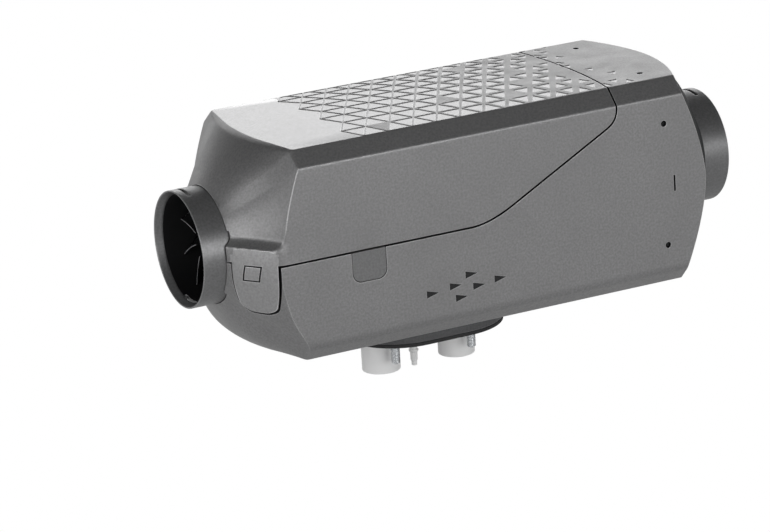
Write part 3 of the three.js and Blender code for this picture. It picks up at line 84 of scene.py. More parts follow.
WALL = 2.5
CHAMFER = 10.0
CORNER_EASE = 1.2
LOW_CORNER_EASE = 3.2  # where the side meets the lower chamfer
# How finely a skin is drawn: millimetres along its flats, and rings over its dome
FINE = (1.4, 16)
COARSE = (6.0, 5)
# How far each skin stands out over an end's dome above, beside and below the spigot
COVER_DOME = {"top": 3.0, "side": -3.0, "bottom": 3.0}
SHELL_DOME = {"top": 3.0, "side": 0.0, "bottom": 10.0}
TAB_DOME = {"top": 5.0, "side": 1.0, "bottom": 5.0}
SIDE_TAKES_OVER = (-0.55, 0.2)  # from above or below the spigot, in shares of the half width
REACH_TAKES_OVER = (0.0, 0.3)
CREASE_FADE = 7  # power with which the octagon's creases fade over the dome
CREASE_SPREAD = math.radians(22)
# The soft edge between the barrel and the dome, above the spigot, beside it and at the tabs
EDGE_ROUND = {"top": 5.0, "side": 0.2, "tab": 7.0}
CRISP_EDGE = 0.2
EDGE_STEPS = 6
# The latch tabs, and the flares that lead the skins out to them
TAB = {"setback": 18.2, "top": 8.5, "bottom": -34.2, "corner": 5.0, "clear": 5.4}
TAB_PAINT_MARGIN = 0.7
TAB_LEAN = 0.1  # of its inner edge, towards the middle as it goes down
TAB_REACH = 4.0  # of the tab's surface, past the casing's
LEDGE_FLARE = 6.0
LEDGE_FLARE_CORNER = 14.0
SHELL_SHARE = 0.8  # of the tab's reach that the lower shell takes beside it
SHELL_SWING = (-58.0, -34.0)
NOTCH_DEPTH = 1.4
NOTCH_HEIGHT = 17.0
OPENING_GAP = 0.4
FLANGE_DEPTH = 5.6
FLANGE_REACH = 3.5
SAG_POWER_SIDE = 1.9
SAG_POWER_TOP = 1.62
SEAM_GAP = 1.3
TAB_GAP = 1.3
SEAT_GAP = 0.3
DUCT_RADIUS = 37.5
SPIGOT_BORE = 34.5

SEAM_HEIGHT = -0.9
SEAM_BEND_START = -25.0
SEAM_BEND_CORNER = -11.6
SEAM_BEND_END = 6.0
SEAM_RAMP = math.radians(27.8)
SEAM_TOP_START = 75.5
SEAM_TOP_X = 82.9
SEAM_TOP_ROUND = 8.0
SEAM_BOW = 4.6
FAR = 400.0  # past the whole object
TOLERANCE = 0.02


def to_row(points):
    """Part millimetres to row metres."""
    return (np.asarray(points, float).reshape(-1, 3) + AXIS) * MM


# -------- mesh helpers

def mesh_object(name, points, faces):
    """A linked mesh object from part-millimetre points, with its faces turned outwards."""
    mesh = bpy.data.meshes.new(name)
    mesh.from_pydata(to_row(points).tolist(), [], faces)
    bm = bmesh.new()
    bm.from_mesh(mesh)
    bmesh.ops.remove_doubles(bm, verts=bm.verts, dist=1e-7)
    bmesh.ops.recalc_face_normals(bm, faces=bm.faces)
    bm.to_mesh(mesh)
    bm.free()
    made = bpy.data.objects.new(name, mesh)
    bpy.context.scene.collection.objects.link(made)
    return made


CASING_SLOTS = ("casing", "casing_smooth_painted_sheen", "mark_and_painted_shade", "tab")
SMOOTH_PAINTED_SHEEN, MARK_AND_PAINTED_SHADE, TAB_PAINTED_HIGHLIGHT = 1, 2, 3


def use_slots(body, slot=None):
    """Gives a body the casing's material slots, so that a cut keeps the slot of each face it brings."""
    for name in CASING_SLOTS[len(body.data.materials):]:
        body.data.materials.append(PAINTS[name])
    if slot is not None:
        body.data.polygons.foreach_set("material_index", [slot] * len(body.data.polygons))
    return body


def boolean(body, operation, *tools):
    """Cuts, joins or intersects a body with tools, and removes the tools."""
    for tool in tools:
        use_slots(body)
        use_slots(tool)
        step = body.modifiers.new("cut", "BOOLEAN")
        step.operation = operation
        step.solver = "MANIFOLD"
        step.object = tool
        graph = bpy.context.evaluated_depsgraph_get()
        result = bpy.data.meshes.new_from_object(body.evaluated_get(graph))
        body.modifiers.clear()
        body.data = result
        bpy.data.objects.remove(tool)
    return body


def cut(body, *tools):
    return boolean(body, "DIFFERENCE", *tools)


def join(body, *tools):
    return boolean(body, "UNION", *tools)


def common(body, *tools):
    return boolean(body, "INTERSECT", *tools)


def copy_of(body):
    twin = body.copy()
    twin.data = body.data.copy()
    bpy.context.scene.collection.objects.link(twin)
    return twin


def grid_faces(rows, columns, wrap_rows=False):
    """Quads between the points of a rows by columns grid, whose columns go right round."""
    faces = []
    for i in range(rows if wrap_rows else rows - 1):
        for j in range(columns):
            k, m = (i + 1) % rows, (j + 1) % columns
            faces.append((i * columns + j, i * columns + m, k * columns + m, k * columns + j))
    return faces


def loft(name, rings):
    """A closed body through rings of equal point count, with a fan over each end."""
    rings = np.asarray(rings, float)
    count = rings.shape[1]
    points = rings.reshape(-1, 3)
    hubs = [rings[0].mean(0), rings[-1].mean(0)]
    faces = grid_faces(len(rings), count)
    first, last = len(points), len(points) + 1
    base = (len(rings) - 1) * count
    for j in range(count):
        faces.append((first, (j + 1) % count, j))
        faces.append((last, base + j, base + (j + 1) % count))
    return mesh_object(name, np.vstack([points, hubs]), faces)


def prism(name, outline, axis, low, high, steps=1, shift=None):
    """A closed polygon swept along an axis; outline holds the other two coordinates in X, Y, Z order."""
    outline = np.asarray(outline, float)
    rings = []
    for level in np.linspace(low, high, steps + 1):
        ring = np.insert(outline, axis, level, axis=1)
        rings.append(ring if shift is None else shift(ring))
    count = len(outline)
    faces = grid_faces(len(rings), count)
    faces.append(tuple(range(count))[::-1])
    faces.append(tuple(range((len(rings) - 1) * count, len(rings) * count)))
    made = mesh_object(name, np.vstack(rings), faces)
    bm = bmesh.new()
    bm.from_mesh(made.data)
    bmesh.ops.triangulate(bm, faces=[f for f in bm.faces if len(f.verts) > 4])
    bm.to_mesh(made.data)
    bm.free()
    return made


def turned(name, profile, axis="X", segments=96, centre=(0, 0)):
    """A lathe body. The profile is a list of (place on the axis, radius), closed on itself or on the axis."""
    on_axis = profile[0][1] < 1e-9 and profile[-1][1] < 1e-9
    inner = profile[1:-1] if on_axis else profile
    place = "XYZ".index(axis)
    angles = np.arange(segments) * 2 * math.pi / segments
    circle = np.stack([np.cos(angles), np.sin(angles)], 1)
    rings = [np.insert(centre + radius * circle, place, along, axis=1) for along, radius in inner]
    faces = grid_faces(len(inner), segments, wrap_rows=not on_axis)
    if on_axis:
        count = len(inner) * segments
        for hub, (along, _), base in ((count, profile[0], 0), (count + 1, profile[-1], count - segments)):
            rings.append(np.insert(np.array([centre], float), place, along, axis=1))
            faces += [(hub, base + j, base + (j + 1) % segments) for j in range(segments)]
    return mesh_object(name, np.vstack(rings), faces)


def rounded(profile, radius, closed=True):
    """A profile with its corners replaced by curves of a radius, or of a list's radii."""
    count = len(profile)
    radii = radius if isinstance(radius, (list, tuple)) else [radius] * count
    made = []
    for i, point in enumerate(profile):
        point = np.array(point, float)
        if radii[i] <= 0 or (not closed and i in (0, count - 1)):
            made.append(tuple(point))
            continue
        before = np.array(profile[i - 1], float) - point
        after = np.array(profile[(i + 1) % count], float) - point
        reach = min(radii[i], np.linalg.norm(before) * 0.49, np.linalg.norm(after) * 0.49)
        start = point + before / np.linalg.norm(before) * reach
        stop = point + after / np.linalg.norm(after) * reach
        made += [tuple(bezier(k / 4, start, point, stop)) for k in range(5)]
    return made


def rounded_rectangle(x, y, width, height, corner, steps=8):
    """(x, y) points of a rectangle with round corners."""
    points = []
    for cx, cy, first in ((1, -1, -90), (1, 1, 0), (-1, 1, 90), (-1, -1, 180)):
        middle = (x + cx * (width / 2 - corner), y + cy * (height / 2 - corner))
        for k in range(steps + 1):
            angle = math.radians(first + 90 * k / steps)
            points.append((middle[0] + corner * math.cos(angle), middle[1] + corner * math.sin(angle)))
    return points


def block(name, low, high):
    """A box between its lowest and its highest corner."""
    outline = [(low[1], low[2]), (high[1], low[2]), (high[1], high[2]), (low[1], high[2])]
    return prism(name, outline, 0, low[0], high[0])


def finish_mesh(body, sharp=30):
    """Smooth shading with crisp edges over an angle, and normals that keep large faces flat."""
    mesh = body.data
    mesh.shade_smooth()
    mesh.set_sharp_from_angle(angle=math.radians(sharp))
    weighted = body.modifiers.new("flat_faces", "WEIGHTED_NORMAL")
    weighted.keep_sharp = True
    weighted.weight = 100
    return body


# -------- materials

class Nodes:
    """Short calls that add nodes to a tree and join them."""

    def __init__(self, tree):
        self.tree = tree

    def add(self, kind, settings=None, **inputs):
        """A new node. An input is named with _ for a space, or numbered, as in i0."""
        made = self.tree.nodes.new(kind)
        for key, value in (settings or {}).items():
            setattr(made, key, value)
        for key, value in inputs.items():
            numbered = key[0] == "i" and key[1:].isdigit()
            socket = made.inputs[int(key[1:]) if numbered else key.replace("_", " ")]
            if isinstance(value, bpy.types.NodeSocket):
                self.tree.links.new(value, socket)
            else:
                socket.default_value = value
        return made

    def ramp(self, value, low, high, start, stop, curve="LINEAR"):
        """Value from low..high mapped to start..stop, held at both ends."""
        made = self.add("ShaderNodeMapRange", {"clamp": True, "interpolation_type": curve}, Value=value,
                        From_Min=low, From_Max=high, To_Min=start, To_Max=stop)
        return made.outputs["Result"]

    def math(self, operation, first, second):
        return self.add("ShaderNodeMath", {"operation": operation}, i0=first, i1=second).outputs[0]


class Paint(Nodes):
    """A material, built node by node."""

    def __init__(self, name):
        self.material = bpy.data.materials.new(name)
        self.material.use_nodes = True
        super().__init__(self.material.node_tree)
        self.tree.nodes.clear()
        self.place = self.add("ShaderNodeTexCoord").outputs["Object"]

    def noise(self, scale, detail=2.0, roughness=0.5, place=None):
        made = self.add("ShaderNodeTexNoise", Vector=place or self.place, Scale=scale, Detail=detail,
                        Roughness=roughness)
        return made.outputs["Fac"]

    def mix(self, share, first, second):
        """A mix of two colours, each a socket or three numbers."""
        first, second = (c if isinstance(c, bpy.types.NodeSocket) else (*c, 1.0) for c in (first, second))
        return self.add("ShaderNodeMix", {"data_type": "RGBA"}, i0=share, i6=first, i7=second).outputs[2]

    def bump(self, height, strength, distance, normal):
        made = self.add("ShaderNodeBump", Height=height, Strength=strength, Distance=distance, Normal=normal)
        return made.outputs["Normal"]

    def soft_edge(self, radius):
        """The normal with edges rounded by a radius, and a mask that is 1 on those edges."""
        normal = self.add("ShaderNodeBevel", {"samples": 6}, Radius=radius).outputs["Normal"]
        flat = self.add("ShaderNodeNewGeometry").outputs["Normal"]
        same = self.add("ShaderNodeVectorMath", {"operation": "DOT_PRODUCT"}, i0=normal, i1=flat)
        return normal, self.ramp(same.outputs["Value"], 0.999, 0.95, 0.0, 1.0)

    def finish(self, **inputs):
        """The material, which ends in a Principled shader with these inputs."""
        shader = self.add("ShaderNodeBsdfPrincipled", **inputs)
        self.add("ShaderNodeOutputMaterial", Surface=shader.outputs[0])
        return self.material


def shade(colour, factor):
    return tuple(min(1.0, c * factor) for c in colour)


def moulded(name, colour, rough, grain=0.15, grain_scale=1500, edge_highlight_share=0.9, metallic=0.0, ior=1.45):
    """Textured moulding: fine spark-eroded grain, faint flow marks and speckles, and edges painted lighter in
    patches, as a painted highlight.
    """
    paint = Paint(name)
    normal, edges = paint.soft_edge(0.0009)
    grit = paint.noise(grain_scale, 3.0, 0.6)
    cloud = paint.noise(14.0, 4.0, 0.55)
    patch = paint.noise(55.0, 3.0, 0.6)
    tone = paint.mix(paint.ramp(cloud, 0.35, 0.65, 0.0, 1.0), shade(colour, 0.93), shade(colour, 1.07))
    mottle = paint.ramp(paint.noise(700.0, 1.0, 0.5), 0.3, 0.7, 0.0, 1.0)
    speck = paint.mix(mottle, shade(colour, 0.88), paint.mix(0.5, tone, shade(colour, 1.2)))
    # painted highlight: the edges lighter, in patches
    painted_edge_highlight = paint.math("MULTIPLY", edges, paint.ramp(patch, 0.35, 0.6, edge_highlight_share * 0.4, edge_highlight_share))
    base = paint.mix(painted_edge_highlight, speck, shade(colour, 2.6))
    rougher = paint.ramp(patch, 0.3, 0.7, rough - 0.04, rough + 0.05)
    bumped = paint.bump(grit, grain, 0.0002, normal)
    return paint.finish(Base_Color=base, Metallic=metallic, Roughness=rougher, Normal=bumped, IOR=ior)


def metal(name, colour, rough, brushed=(1, 1, 1), scale=300.0, bump=0.1, tint=0.85, metallic=1.0):
    """Bare or plated metal: drawn or turned lines, uneven tarnish, and edges painted lighter as a highlight.
    """
    paint = Paint(name)
    normal, edges = paint.soft_edge(0.0003)
    stretched = paint.add("ShaderNodeMapping", Vector=paint.place, Scale=brushed).outputs["Vector"]
    lines = paint.noise(scale, 4.0, 0.65, stretched)
    stain = paint.noise(38.0, 5.0, 0.6)
    tone = paint.mix(paint.ramp(stain, 0.35, 0.7, 0.0, 1.0), colour, shade(colour, tint))
    # painted highlight: the edges lighter
    base = paint.mix(paint.math("MULTIPLY", edges, 0.5), tone, shade(colour, 1.25))
    rougher = paint.ramp(stain, 0.3, 0.7, rough - 0.06, rough + 0.1)
    bumped = paint.bump(lines, bump, 0.0003, normal)
    return paint.finish(Base_Color=base, Metallic=metallic, Roughness=rougher, Normal=bumped)


def cast_metal(name, colour):
    """Die-cast metal: pebbled skin, cloudy tone, and edges painted lighter as a highlight."""
    paint = Paint(name)
    normal, edges = paint.soft_edge(0.0006)
    pebble = paint.add("ShaderNodeTexVoronoi", {"feature": "SMOOTH_F1"}, Vector=paint.place, Scale=900.0)
    cloud = paint.noise(30.0, 5.0, 0.6)
    tone = paint.mix(paint.ramp(cloud, 0.35, 0.68, 0.0, 1.0), shade(colour, 0.8), shade(colour, 1.1))
    # painted highlight: the edges lighter
    base = paint.mix(paint.math("MULTIPLY", edges, 0.6), tone, shade(colour, 1.5))
    rougher = paint.ramp(cloud, 0.3, 0.7, 0.42, 0.6)
    coarse = paint.bump(cloud, 0.2, 0.0008, normal)
    bumped = paint.bump(pebble.outputs["Distance"], 0.35, 0.0004, coarse)
    return paint.finish(Base_Color=base, Metallic=1.0, Roughness=rougher, Normal=bumped)


HEAT_BANDS = ((0.0, (0.42, 0.41, 0.39)), (0.3, (0.47, 0.36, 0.2)), (0.5, (0.3, 0.16, 0.12)),
              (0.66, (0.14, 0.17, 0.3)), (1.0, (0.3, 0.31, 0.33)))


def heat_tinted(name, start_x, stop_x):
    """Sheet steel that has run hot: straw, brown and blue bands along the burner, with soot in patches."""
    paint = Paint(name)
    normal, edges = paint.soft_edge(0.0003)
    along = paint.add("ShaderNodeSeparateXYZ", Vector=paint.place).outputs["X"]
    wobble = paint.noise(45.0, 4.0, 0.6)
    ragged = paint.ramp(wobble, 0.2, 0.8, -0.15, 0.15)
    place = paint.math("ADD", paint.ramp(along, start_x, stop_x, 0.0, 1.0), ragged)
    tints = paint.add("ShaderNodeValToRGB", Fac=place)
    bands = tints.color_ramp.elements
    for at, colour in HEAT_BANDS:
        band = bands[0] if at == 0 else bands[-1] if at == 1 else bands.new(at)
        band.color = (*colour, 1)
    soot = paint.ramp(paint.noise(70.0, 5.0, 0.7), 0.5, 0.72, 0.0, 0.75)
    sooty = paint.mix(soot, tints.outputs["Color"], (0.03, 0.03, 0.03))
    # painted highlight: the edges pale
    base = paint.mix(paint.math("MULTIPLY", edges, 0.4), sooty, (0.6, 0.58, 0.55))
    rougher = paint.ramp(wobble, 0.3, 0.7, 0.32, 0.55)
    bumped = paint.bump(paint.noise(600.0, 3.0), 0.12, 0.0003, normal)
    return paint.finish(Base_Color=base, Metallic=1.0, Roughness=rougher, Normal=bumped)


CASING_GREY = (0.268, 0.267, 0.27)
PAINTS = {
    "casing": moulded("casing_grain", CASING_GREY, 0.36, grain=0.6, grain_scale=1100, metallic=0.6),
    # the pit floors: smoother, and painted lighter than the casing as a painted sheen
    "casing_smooth_painted_sheen": moulded("casing_polished_painted_sheen", shade(CASING_GREY, 1.3), 0.16, grain=0.08, edge_highlight_share=0.1,
                             metallic=0.6),
    # the tabs: the casing grain painted lighter, as a painted highlight on their facets
    "tab": moulded("tab_grain_painted_highlight", shade(CASING_GREY, 1.4), 0.36, grain=0.6, grain_scale=1100, metallic=0.6),
    # near black: the sunk marks' own colour, and painted shade in the seam and tab gaps, the holes, the seam
    # lip and the spigots' bores
    "mark_and_painted_shade": moulded("mark_and_recess_shade", (0.006, 0.006, 0.007), 0.6, grain=0.1, edge_highlight_share=0.0),
    "hood": moulded("hood_plastic", (0.02, 0.021, 0.022), 0.6, grain=0.2, edge_highlight_share=0.3, ior=1.2),
    "spigot": moulded("spigot_plastic", (0.21, 0.211, 0.214), 0.36, grain=0.4, metallic=0.6),
    "rubber": moulded("plug_rubber", (0.2, 0.201, 0.203), 0.5, grain=0.3, grain_scale=700, edge_highlight_share=0.2,
                      metallic=0.5),
    "blade": moulded("blade_plastic", (0.008, 0.008, 0.009), 0.28, grain=0.05),
    # blade leading edges painted lighter: a painted highlight
    "blade_edge": moulded("blade_edge_painted_highlight", (0.3, 0.3, 0.31), 0.4, grain=0.1, metallic=0.3),
    "sheath": moulded("lead_sheath", (0.012, 0.012, 0.013), 0.4, grain=0.2, grain_scale=500),
    "connector": moulded("connector_plastic", (0.02, 0.02, 0.021), 0.45),
    "seal": moulded("seal_sheet", (0.025, 0.025, 0.026), 0.75, grain=0.6, grain_scale=500, edge_highlight_share=0.2),
    "ferrite": moulded("ferrite", (0.05, 0.05, 0.052), 0.7, grain=0.6, grain_scale=400),
    "gasket": moulded("burner_gasket", (0.2, 0.19, 0.17), 0.85, grain=0.7, grain_scale=600),
    "cast": cast_metal("cast_aluminium", (0.42, 0.43, 0.44)),
    "exchanger": cast_metal("cast_exchanger", (0.42, 0.43, 0.44)),
    "tube": metal("bright_tube", (0.95, 0.95, 0.95), 0.2, (1, 1, 30), 60, bump=0.04, tint=0.97,
                  metallic=0.1),
    "zinc": metal("zinc_plate", (0.8, 0.82, 0.84), 0.24, bump=0.08, tint=0.85, metallic=0.8),
    # the exchanger's faces below the casing, painted a darker grey
    "foot": moulded("darker_foot", (0.09, 0.091, 0.094), 0.5, grain=0.3, grain_scale=800, metallic=0.3),
    "steel": metal("turned_steel", (0.52, 0.52, 0.53), 0.28, brushed=(40, 1, 1), scale=40),
    "copper": metal("copper", (0.6, 0.28, 0.14), 0.35, tint=0.6),
    "lamination": metal("laminations", (0.32, 0.31, 0.3), 0.45, brushed=(60, 1, 1), scale=60, bump=0.3),
    "burner": heat_tinted("burner_steel", -0.036, 0.1),
}


def paint_with(body, *names):
    """Sets a body's materials. Its faces keep their slots when there are several."""
    slots = np.zeros(len(body.data.polygons), dtype=np.int32)
    if len(names) > 1:
        body.data.polygons.foreach_get("material_index", slots)
    body.data.materials.clear()
    for name in names:
        body.data.materials.append(PAINTS[name])
    body.data.polygons.foreach_set("material_index", np.minimum(slots, len(names) - 1))
    return body


def paint_faces(body, slot, chosen, keep=-1):
    """Gives some faces another slot, all but those in the slot to keep.

    They are chosen by their middles, in part millimetres, and their normals."""
    count = len(body.data.polygons)
    middles, normals = np.empty(count * 3), np.empty(count * 3)
    body.data.polygons.foreach_get("center", middles)
    body.data.polygons.foreach_get("normal", normals)
    picked = chosen(middles.reshape(-1, 3) / MM - AXIS, normals.reshape(-1, 3))
    slots = np.empty(count, dtype=np.int32)
    body.data.polygons.foreach_get("material_index", slots)
    slots[picked & (slots != keep)] = slot
    body.data.polygons.foreach_set("material_index", slots)


# -------- casing form

def smoothstep(value, low, high):
    t = np.clip((value - low) / (high - low), 0.0, 1.0)
    return t * t * (3 - 2 * t)


def bezier(t, start, middle, stop):
    return (1 - t) ** 2 * start + 2 * t * (1 - t) * middle + t * t * stop


def casing_outline(inset, flat_step):
    """The casing's section as (y, z) points, drawn in by an inset: a chamfered, eased rectangle."""
    y, z = HALF_WIDTH - inset, HALF_HEIGHT - inset
    leg = CHAMFER - inset * (2 - math.sqrt(2))
    corners = np.array([(y, z - leg), (y - leg, z), (leg - y, z), (-y, z - leg),
                        (-y, leg - z), (leg - y, -z), (y - leg, -z), (y, leg - z)])

    def toward(start, stop):
        """Where the easing of one corner meets its side towards another."""
        ease = LOW_CORNER_EASE if abs(start[1] - (leg - z)) < TOLERANCE else CORNER_EASE
        return start + (stop - start) * ease / np.linalg.norm(stop - start)

    points = []
    for i, corner in enumerate(corners):
        after = corners[(i + 1) % 8]
        start, stop = toward(corner, corners[i - 1]), toward(corner, after)
        points.extend(bezier(t, start, corner, stop) for t in np.linspace(0, 1, 5))
        if i % 2 == 1:
            follow = toward(after, corner)
            count = round(np.linalg.norm(follow - stop) / flat_step)
            points.extend(stop + (follow - stop) * k / count for k in range(1, count))
    return np.array(points)


def end_edge(end, y, z):
    """Where the casing's bowed end edge lies at a point of its outline."""
    aside = np.abs(y / HALF_WIDTH) ** SAG_POWER_SIDE
    up = np.abs(z / HALF_HEIGHT) ** SAG_POWER_TOP
    return end["sign"] * (HALF_LENGTH - end["side_sag"] * aside - end["top_sag"] * up)


def beside(y, z, span):
    """0 above or below the spigot and 1 beside it, at a point of the outline."""
    return smoothstep(np.abs(y) / HALF_WIDTH - np.abs(z) / HALF_HEIGHT, *span)


def round_about(sizes, y, z):
    """A size that differs above, beside and below the spigot, at a point of the outline."""
    level = np.where(z > 0, sizes["top"], sizes.get("bottom", sizes["top"]))
    return level + (sizes["side"] - level) * beside(y, z, SIDE_TAKES_OVER)


def cover_edge(y, z):
    """The cover's edge radius, which opens out towards the tab's ledge."""
    near_tab = np.clip(1 - (z - TAB["top"]) / LEDGE_FLARE_CORNER, 0.0, 1.0) ** 2
    crisp = round_about(EDGE_ROUND, y, z)
    return crisp + (EDGE_ROUND["tab"] - crisp) * near_tab * (np.abs(y) > HALF_WIDTH / 2)


def tab_edge(y, z):
    return np.full(len(y), EDGE_ROUND["tab"])


def shell_edge(y, z):
    return round_about(EDGE_ROUND, y, z)


def evened(edge, y, z):
    """The edge with the octagon's corners spread out, which the dome takes on past the edge."""
    around = np.arctan2(z, y)
    apart = np.angle(np.exp(1j * (around[:, None] - around[None, :])))
    spacing = np.abs(np.angle(np.exp(1j * (np.roll(around, -1) - np.roll(around, 1)))))
    weight = np.exp(-(apart / CREASE_SPREAD) ** 2) * spacing[None, :]
    return weight @ edge / weight.sum(1)[:, None]


def dome_rings(end, dome, inset, draw, edge_round=None, flat_step=2.0, steps=14, reach=0.0):
    """Rings from the casing's end edge over the dome to the spigot's round opening, drawn in.

    reach is how far they stand out along X beside the spigot."""
    sign = end["sign"]
    y, z = casing_outline(inset + draw, flat_step).T
    radius = np.hypot(y, z)
    aside = beside(y, z, REACH_TAKES_OVER)
    edge = np.stack([end_edge(end, y, z) + sign * (reach * aside - draw), radius], 1)
    even = evened(edge, y, z)
    base = sign * (end["base"] - draw + reach * aside)
    ring = np.stack([base, np.full(len(y), DUCT_RADIUS - draw / 2)], 1)
    slope = (ring - even) / np.linalg.norm(ring - even, axis=1)[:, None]
    out = np.stack([-sign * slope[:, 1], sign * slope[:, 0]], 1)
    middle = (even + ring) / 2 + out * round_about(dome, y, z)[:, None]

    def over_dome(t):
        return bezier(t, even, middle, ring) + (edge - even) * (1 - t) ** CREASE_FADE

    soft = edge_round(y, z) if edge_round else np.full(len(y), CRISP_EDGE)
    landing = (soft / (2 * np.linalg.norm(middle - edge, axis=1)))[:, None]
    start = edge - np.stack([sign * soft, np.zeros(len(y))], 1)
    stop = over_dome(landing)
    line = [bezier(t, start, edge, stop) for t in np.linspace(0, 1, EDGE_STEPS, endpoint=False)]
    line += [over_dome(landing + (1 - landing) * t) for t in np.linspace(0, 1, steps + 1)]
    return [np.stack([at[:, 0], y / radius * at[:, 1], z / radius * at[:, 1]], 1) for at in line]


def cover_flare(z):
    """How far the cover's dome has swung out to the tab's surface over the ledge."""
    return np.clip(1 - (z - TAB["top"]) / LEDGE_FLARE, 0.0, 1.0) ** 2


def shell_flare(z):
    """How far the lower shell's dome has swung out beside the tab."""
    return SHELL_SHARE * smoothstep(z, *SHELL_SWING)


def casing_body(name, dome, draw=0.0, past=0.0, edge_round=None, flare=None):
    """The casing as a solid: inlet dome and barrel, drawn in, and run on past the outlet's edge.

    flare says how far the dome swings out to the tab's, from 0 to 1, at a height."""
    finely = FINE if draw < 1.0 else COARSE
    rings = dome_rings(INLET, dome, 0.0, draw, edge_round, *finely, TAB_REACH if dome is TAB_DOME else 0.0)
    if flare:
        proud = dome_rings(INLET, TAB_DOME, 0.0, draw, edge_round, *finely, TAB_REACH)
        rings = [ring + flare(ring[:, 2])[:, None] * (out - ring) for ring, out in zip(rings, proud)]
    outline = casing_outline(draw, finely[0])
    y, z = outline.T
    outlet = np.stack([end_edge(OUTLET, y, z) + past, y, z], 1)
    return loft(name, rings[::-1] + [outlet])


def casing_room(name, dome, draw):
    """The casing's hollow, drawn in and open at the outlet."""
    return casing_body(name, dome, draw, 2 * WALL)


def seam_line(offset):
    """The seam seen from the side, from the inlet to above the casing, offset outwards from the cover."""
    rise = math.tan(SEAM_RAMP)

    def on_ramp(x):
        return SEAM_HEIGHT + (x - SEAM_BEND_CORNER) * rise

    bend = [(SEAM_BEND_START, SEAM_HEIGHT), (SEAM_BEND_CORNER, SEAM_HEIGHT),
            (SEAM_BEND_END, on_ramp(SEAM_BEND_END))]
    corner = on_ramp(SEAM_TOP_X)
    top = [(SEAM_TOP_START, on_ramp(SEAM_TOP_START)), (SEAM_TOP_X, corner),
           (SEAM_TOP_X, corner + SEAM_TOP_ROUND)]
    steps = np.linspace(0, 1, 13)[:, None]
    curves = [bezier(steps, *np.array(points)) for points in (bend, top)]
    line = np.vstack([[(-FAR, SEAM_HEIGHT)], *curves, [(SEAM_TOP_X, FAR)]])
    ahead = np.gradient(line, axis=0)
    ahead[0], ahead[-1] = (1, 0), (0, 1)
    ahead /= np.linalg.norm(ahead, axis=1)[:, None]
    return line + np.stack([ahead[:, 1], -ahead[:, 0]], 1) * offset


def bow_seam(ring):
    """Bows the seam to the outlet where it crosses the top."""
    x, y, z = ring.T
    start = SEAM_HEIGHT + (SEAM_TOP_START - SEAM_BEND_CORNER) * math.tan(SEAM_RAMP)
    bow = SEAM_BOW * np.maximum(0, 1 - (y / (HALF_WIDTH - CHAMFER)) ** 2)
    moved = np.where(x > SEAM_BEND_START, bow * smoothstep(z, start, start + SEAM_TOP_ROUND), 0.0)
    return np.stack([x + moved, y, z], 1)


def cover_region(offset):
    """Everything on the cover's side of the seam, grown by an offset."""
    outline = np.vstack([seam_line(offset), [(-FAR, FAR)]])
    # the seam's cut faces take the near-black slot: painted shade in the seam
    return use_slots(prism("cover_region", outline, 1, -2 * HALF_WIDTH, 2 * HALF_WIDTH, 60, bow_seam), MARK_AND_PAINTED_SHADE)


def spigot_room(end):
    """The room that an air spigot and its seat flange take in the casing's end."""
    seat = end["base"] - FLANGE_DEPTH + OPENING_GAP
    neck, flange = DUCT_RADIUS + OPENING_GAP, DUCT_RADIUS + FLANGE_REACH + OPENING_GAP
    profile = [(end["rim"], 0), (end["rim"], neck), (seat, neck), (seat, flange), (0, flange), (0, 0)]
    return turned("spigot_room", [(end["sign"] * x, r) for x, r in profile])


def on_side(side, near, far):
    """Both ends of a span on one side of the middle, the lower first."""
    return (near, far) if side > 0 else (-far, -near)


def tab_region(side, grow, clear):
    """The room of a latch tab, grown by a gap, from a plane beside the spigot outwards."""
    back = TAB["setback"] - INLET["base"] + grow
    height = TAB["top"] - TAB["bottom"] + grow
    middle = TAB["top"] - height / 2
    near = DUCT_RADIUS + clear
    from_side = rounded_rectangle(back - FAR / 2, middle, FAR, height, TAB["corner"])
    from_end = np.array(rounded_rectangle(side * (near + FAR / 2), middle, FAR, height, TAB["corner"]))
    from_end[:, 0] -= side * TAB_LEAN * (TAB["top"] - from_end[:, 1])
    region = prism("tab_region", from_side, 1, *on_side(side, SPIGOT_BORE, FAR))
    # the tab's cut sides and gap walls take the near-black slot: painted shade in the gaps
    return use_slots(common(region, prism("tab_end", from_end, 0, -FAR, back)), MARK_AND_PAINTED_SHADE)


def notch(side):
    """The room beside the spigot, where the cover's opening is wider and the tabs begin."""
    radius, seat = DUCT_RADIUS + NOTCH_DEPTH, FLANGE_DEPTH - INLET["base"]
    reach = turned("notch", [(-FAR, 0), (-FAR, radius), (seat, radius), (seat, 0)])
    near, far = on_side(side, 0, FAR)
    return common(reach, block("notch_box", (-FAR, near, SEAM_HEIGHT - SEAM_GAP), (0, far, NOTCH_HEIGHT)))


def on_tab(points, normals):
    """The tabs' outer faces, from the ledge down."""
    depth = TAB["top"] - points[:, 2]
    inner_edge = DUCT_RADIUS + TAB["clear"] - TAB_LEAN * depth - TAB_PAINT_MARGIN
    at_end = (points[:, 0] < TAB["setback"] - INLET["base"]) & (normals[:, 0] < 0)
    return at_end & (depth > 0) & (np.abs(points[:, 1]) > inner_edge)


def latch_tab(side):
    """A thick root above the seam, on the cover's dome, and a thin tongue below it."""
    full = common(casing_body("tab", TAB_DOME, edge_round=tab_edge), tab_region(side, 0, TAB["clear"]))
    root = cut(common(copy_of(full), cover_region(0)), casing_room("room", COVER_DOME, WALL))
    tongue = cut(full, casing_room("room", TAB_DOME, WALL))
    return join(root, tongue)


# -------- casing details

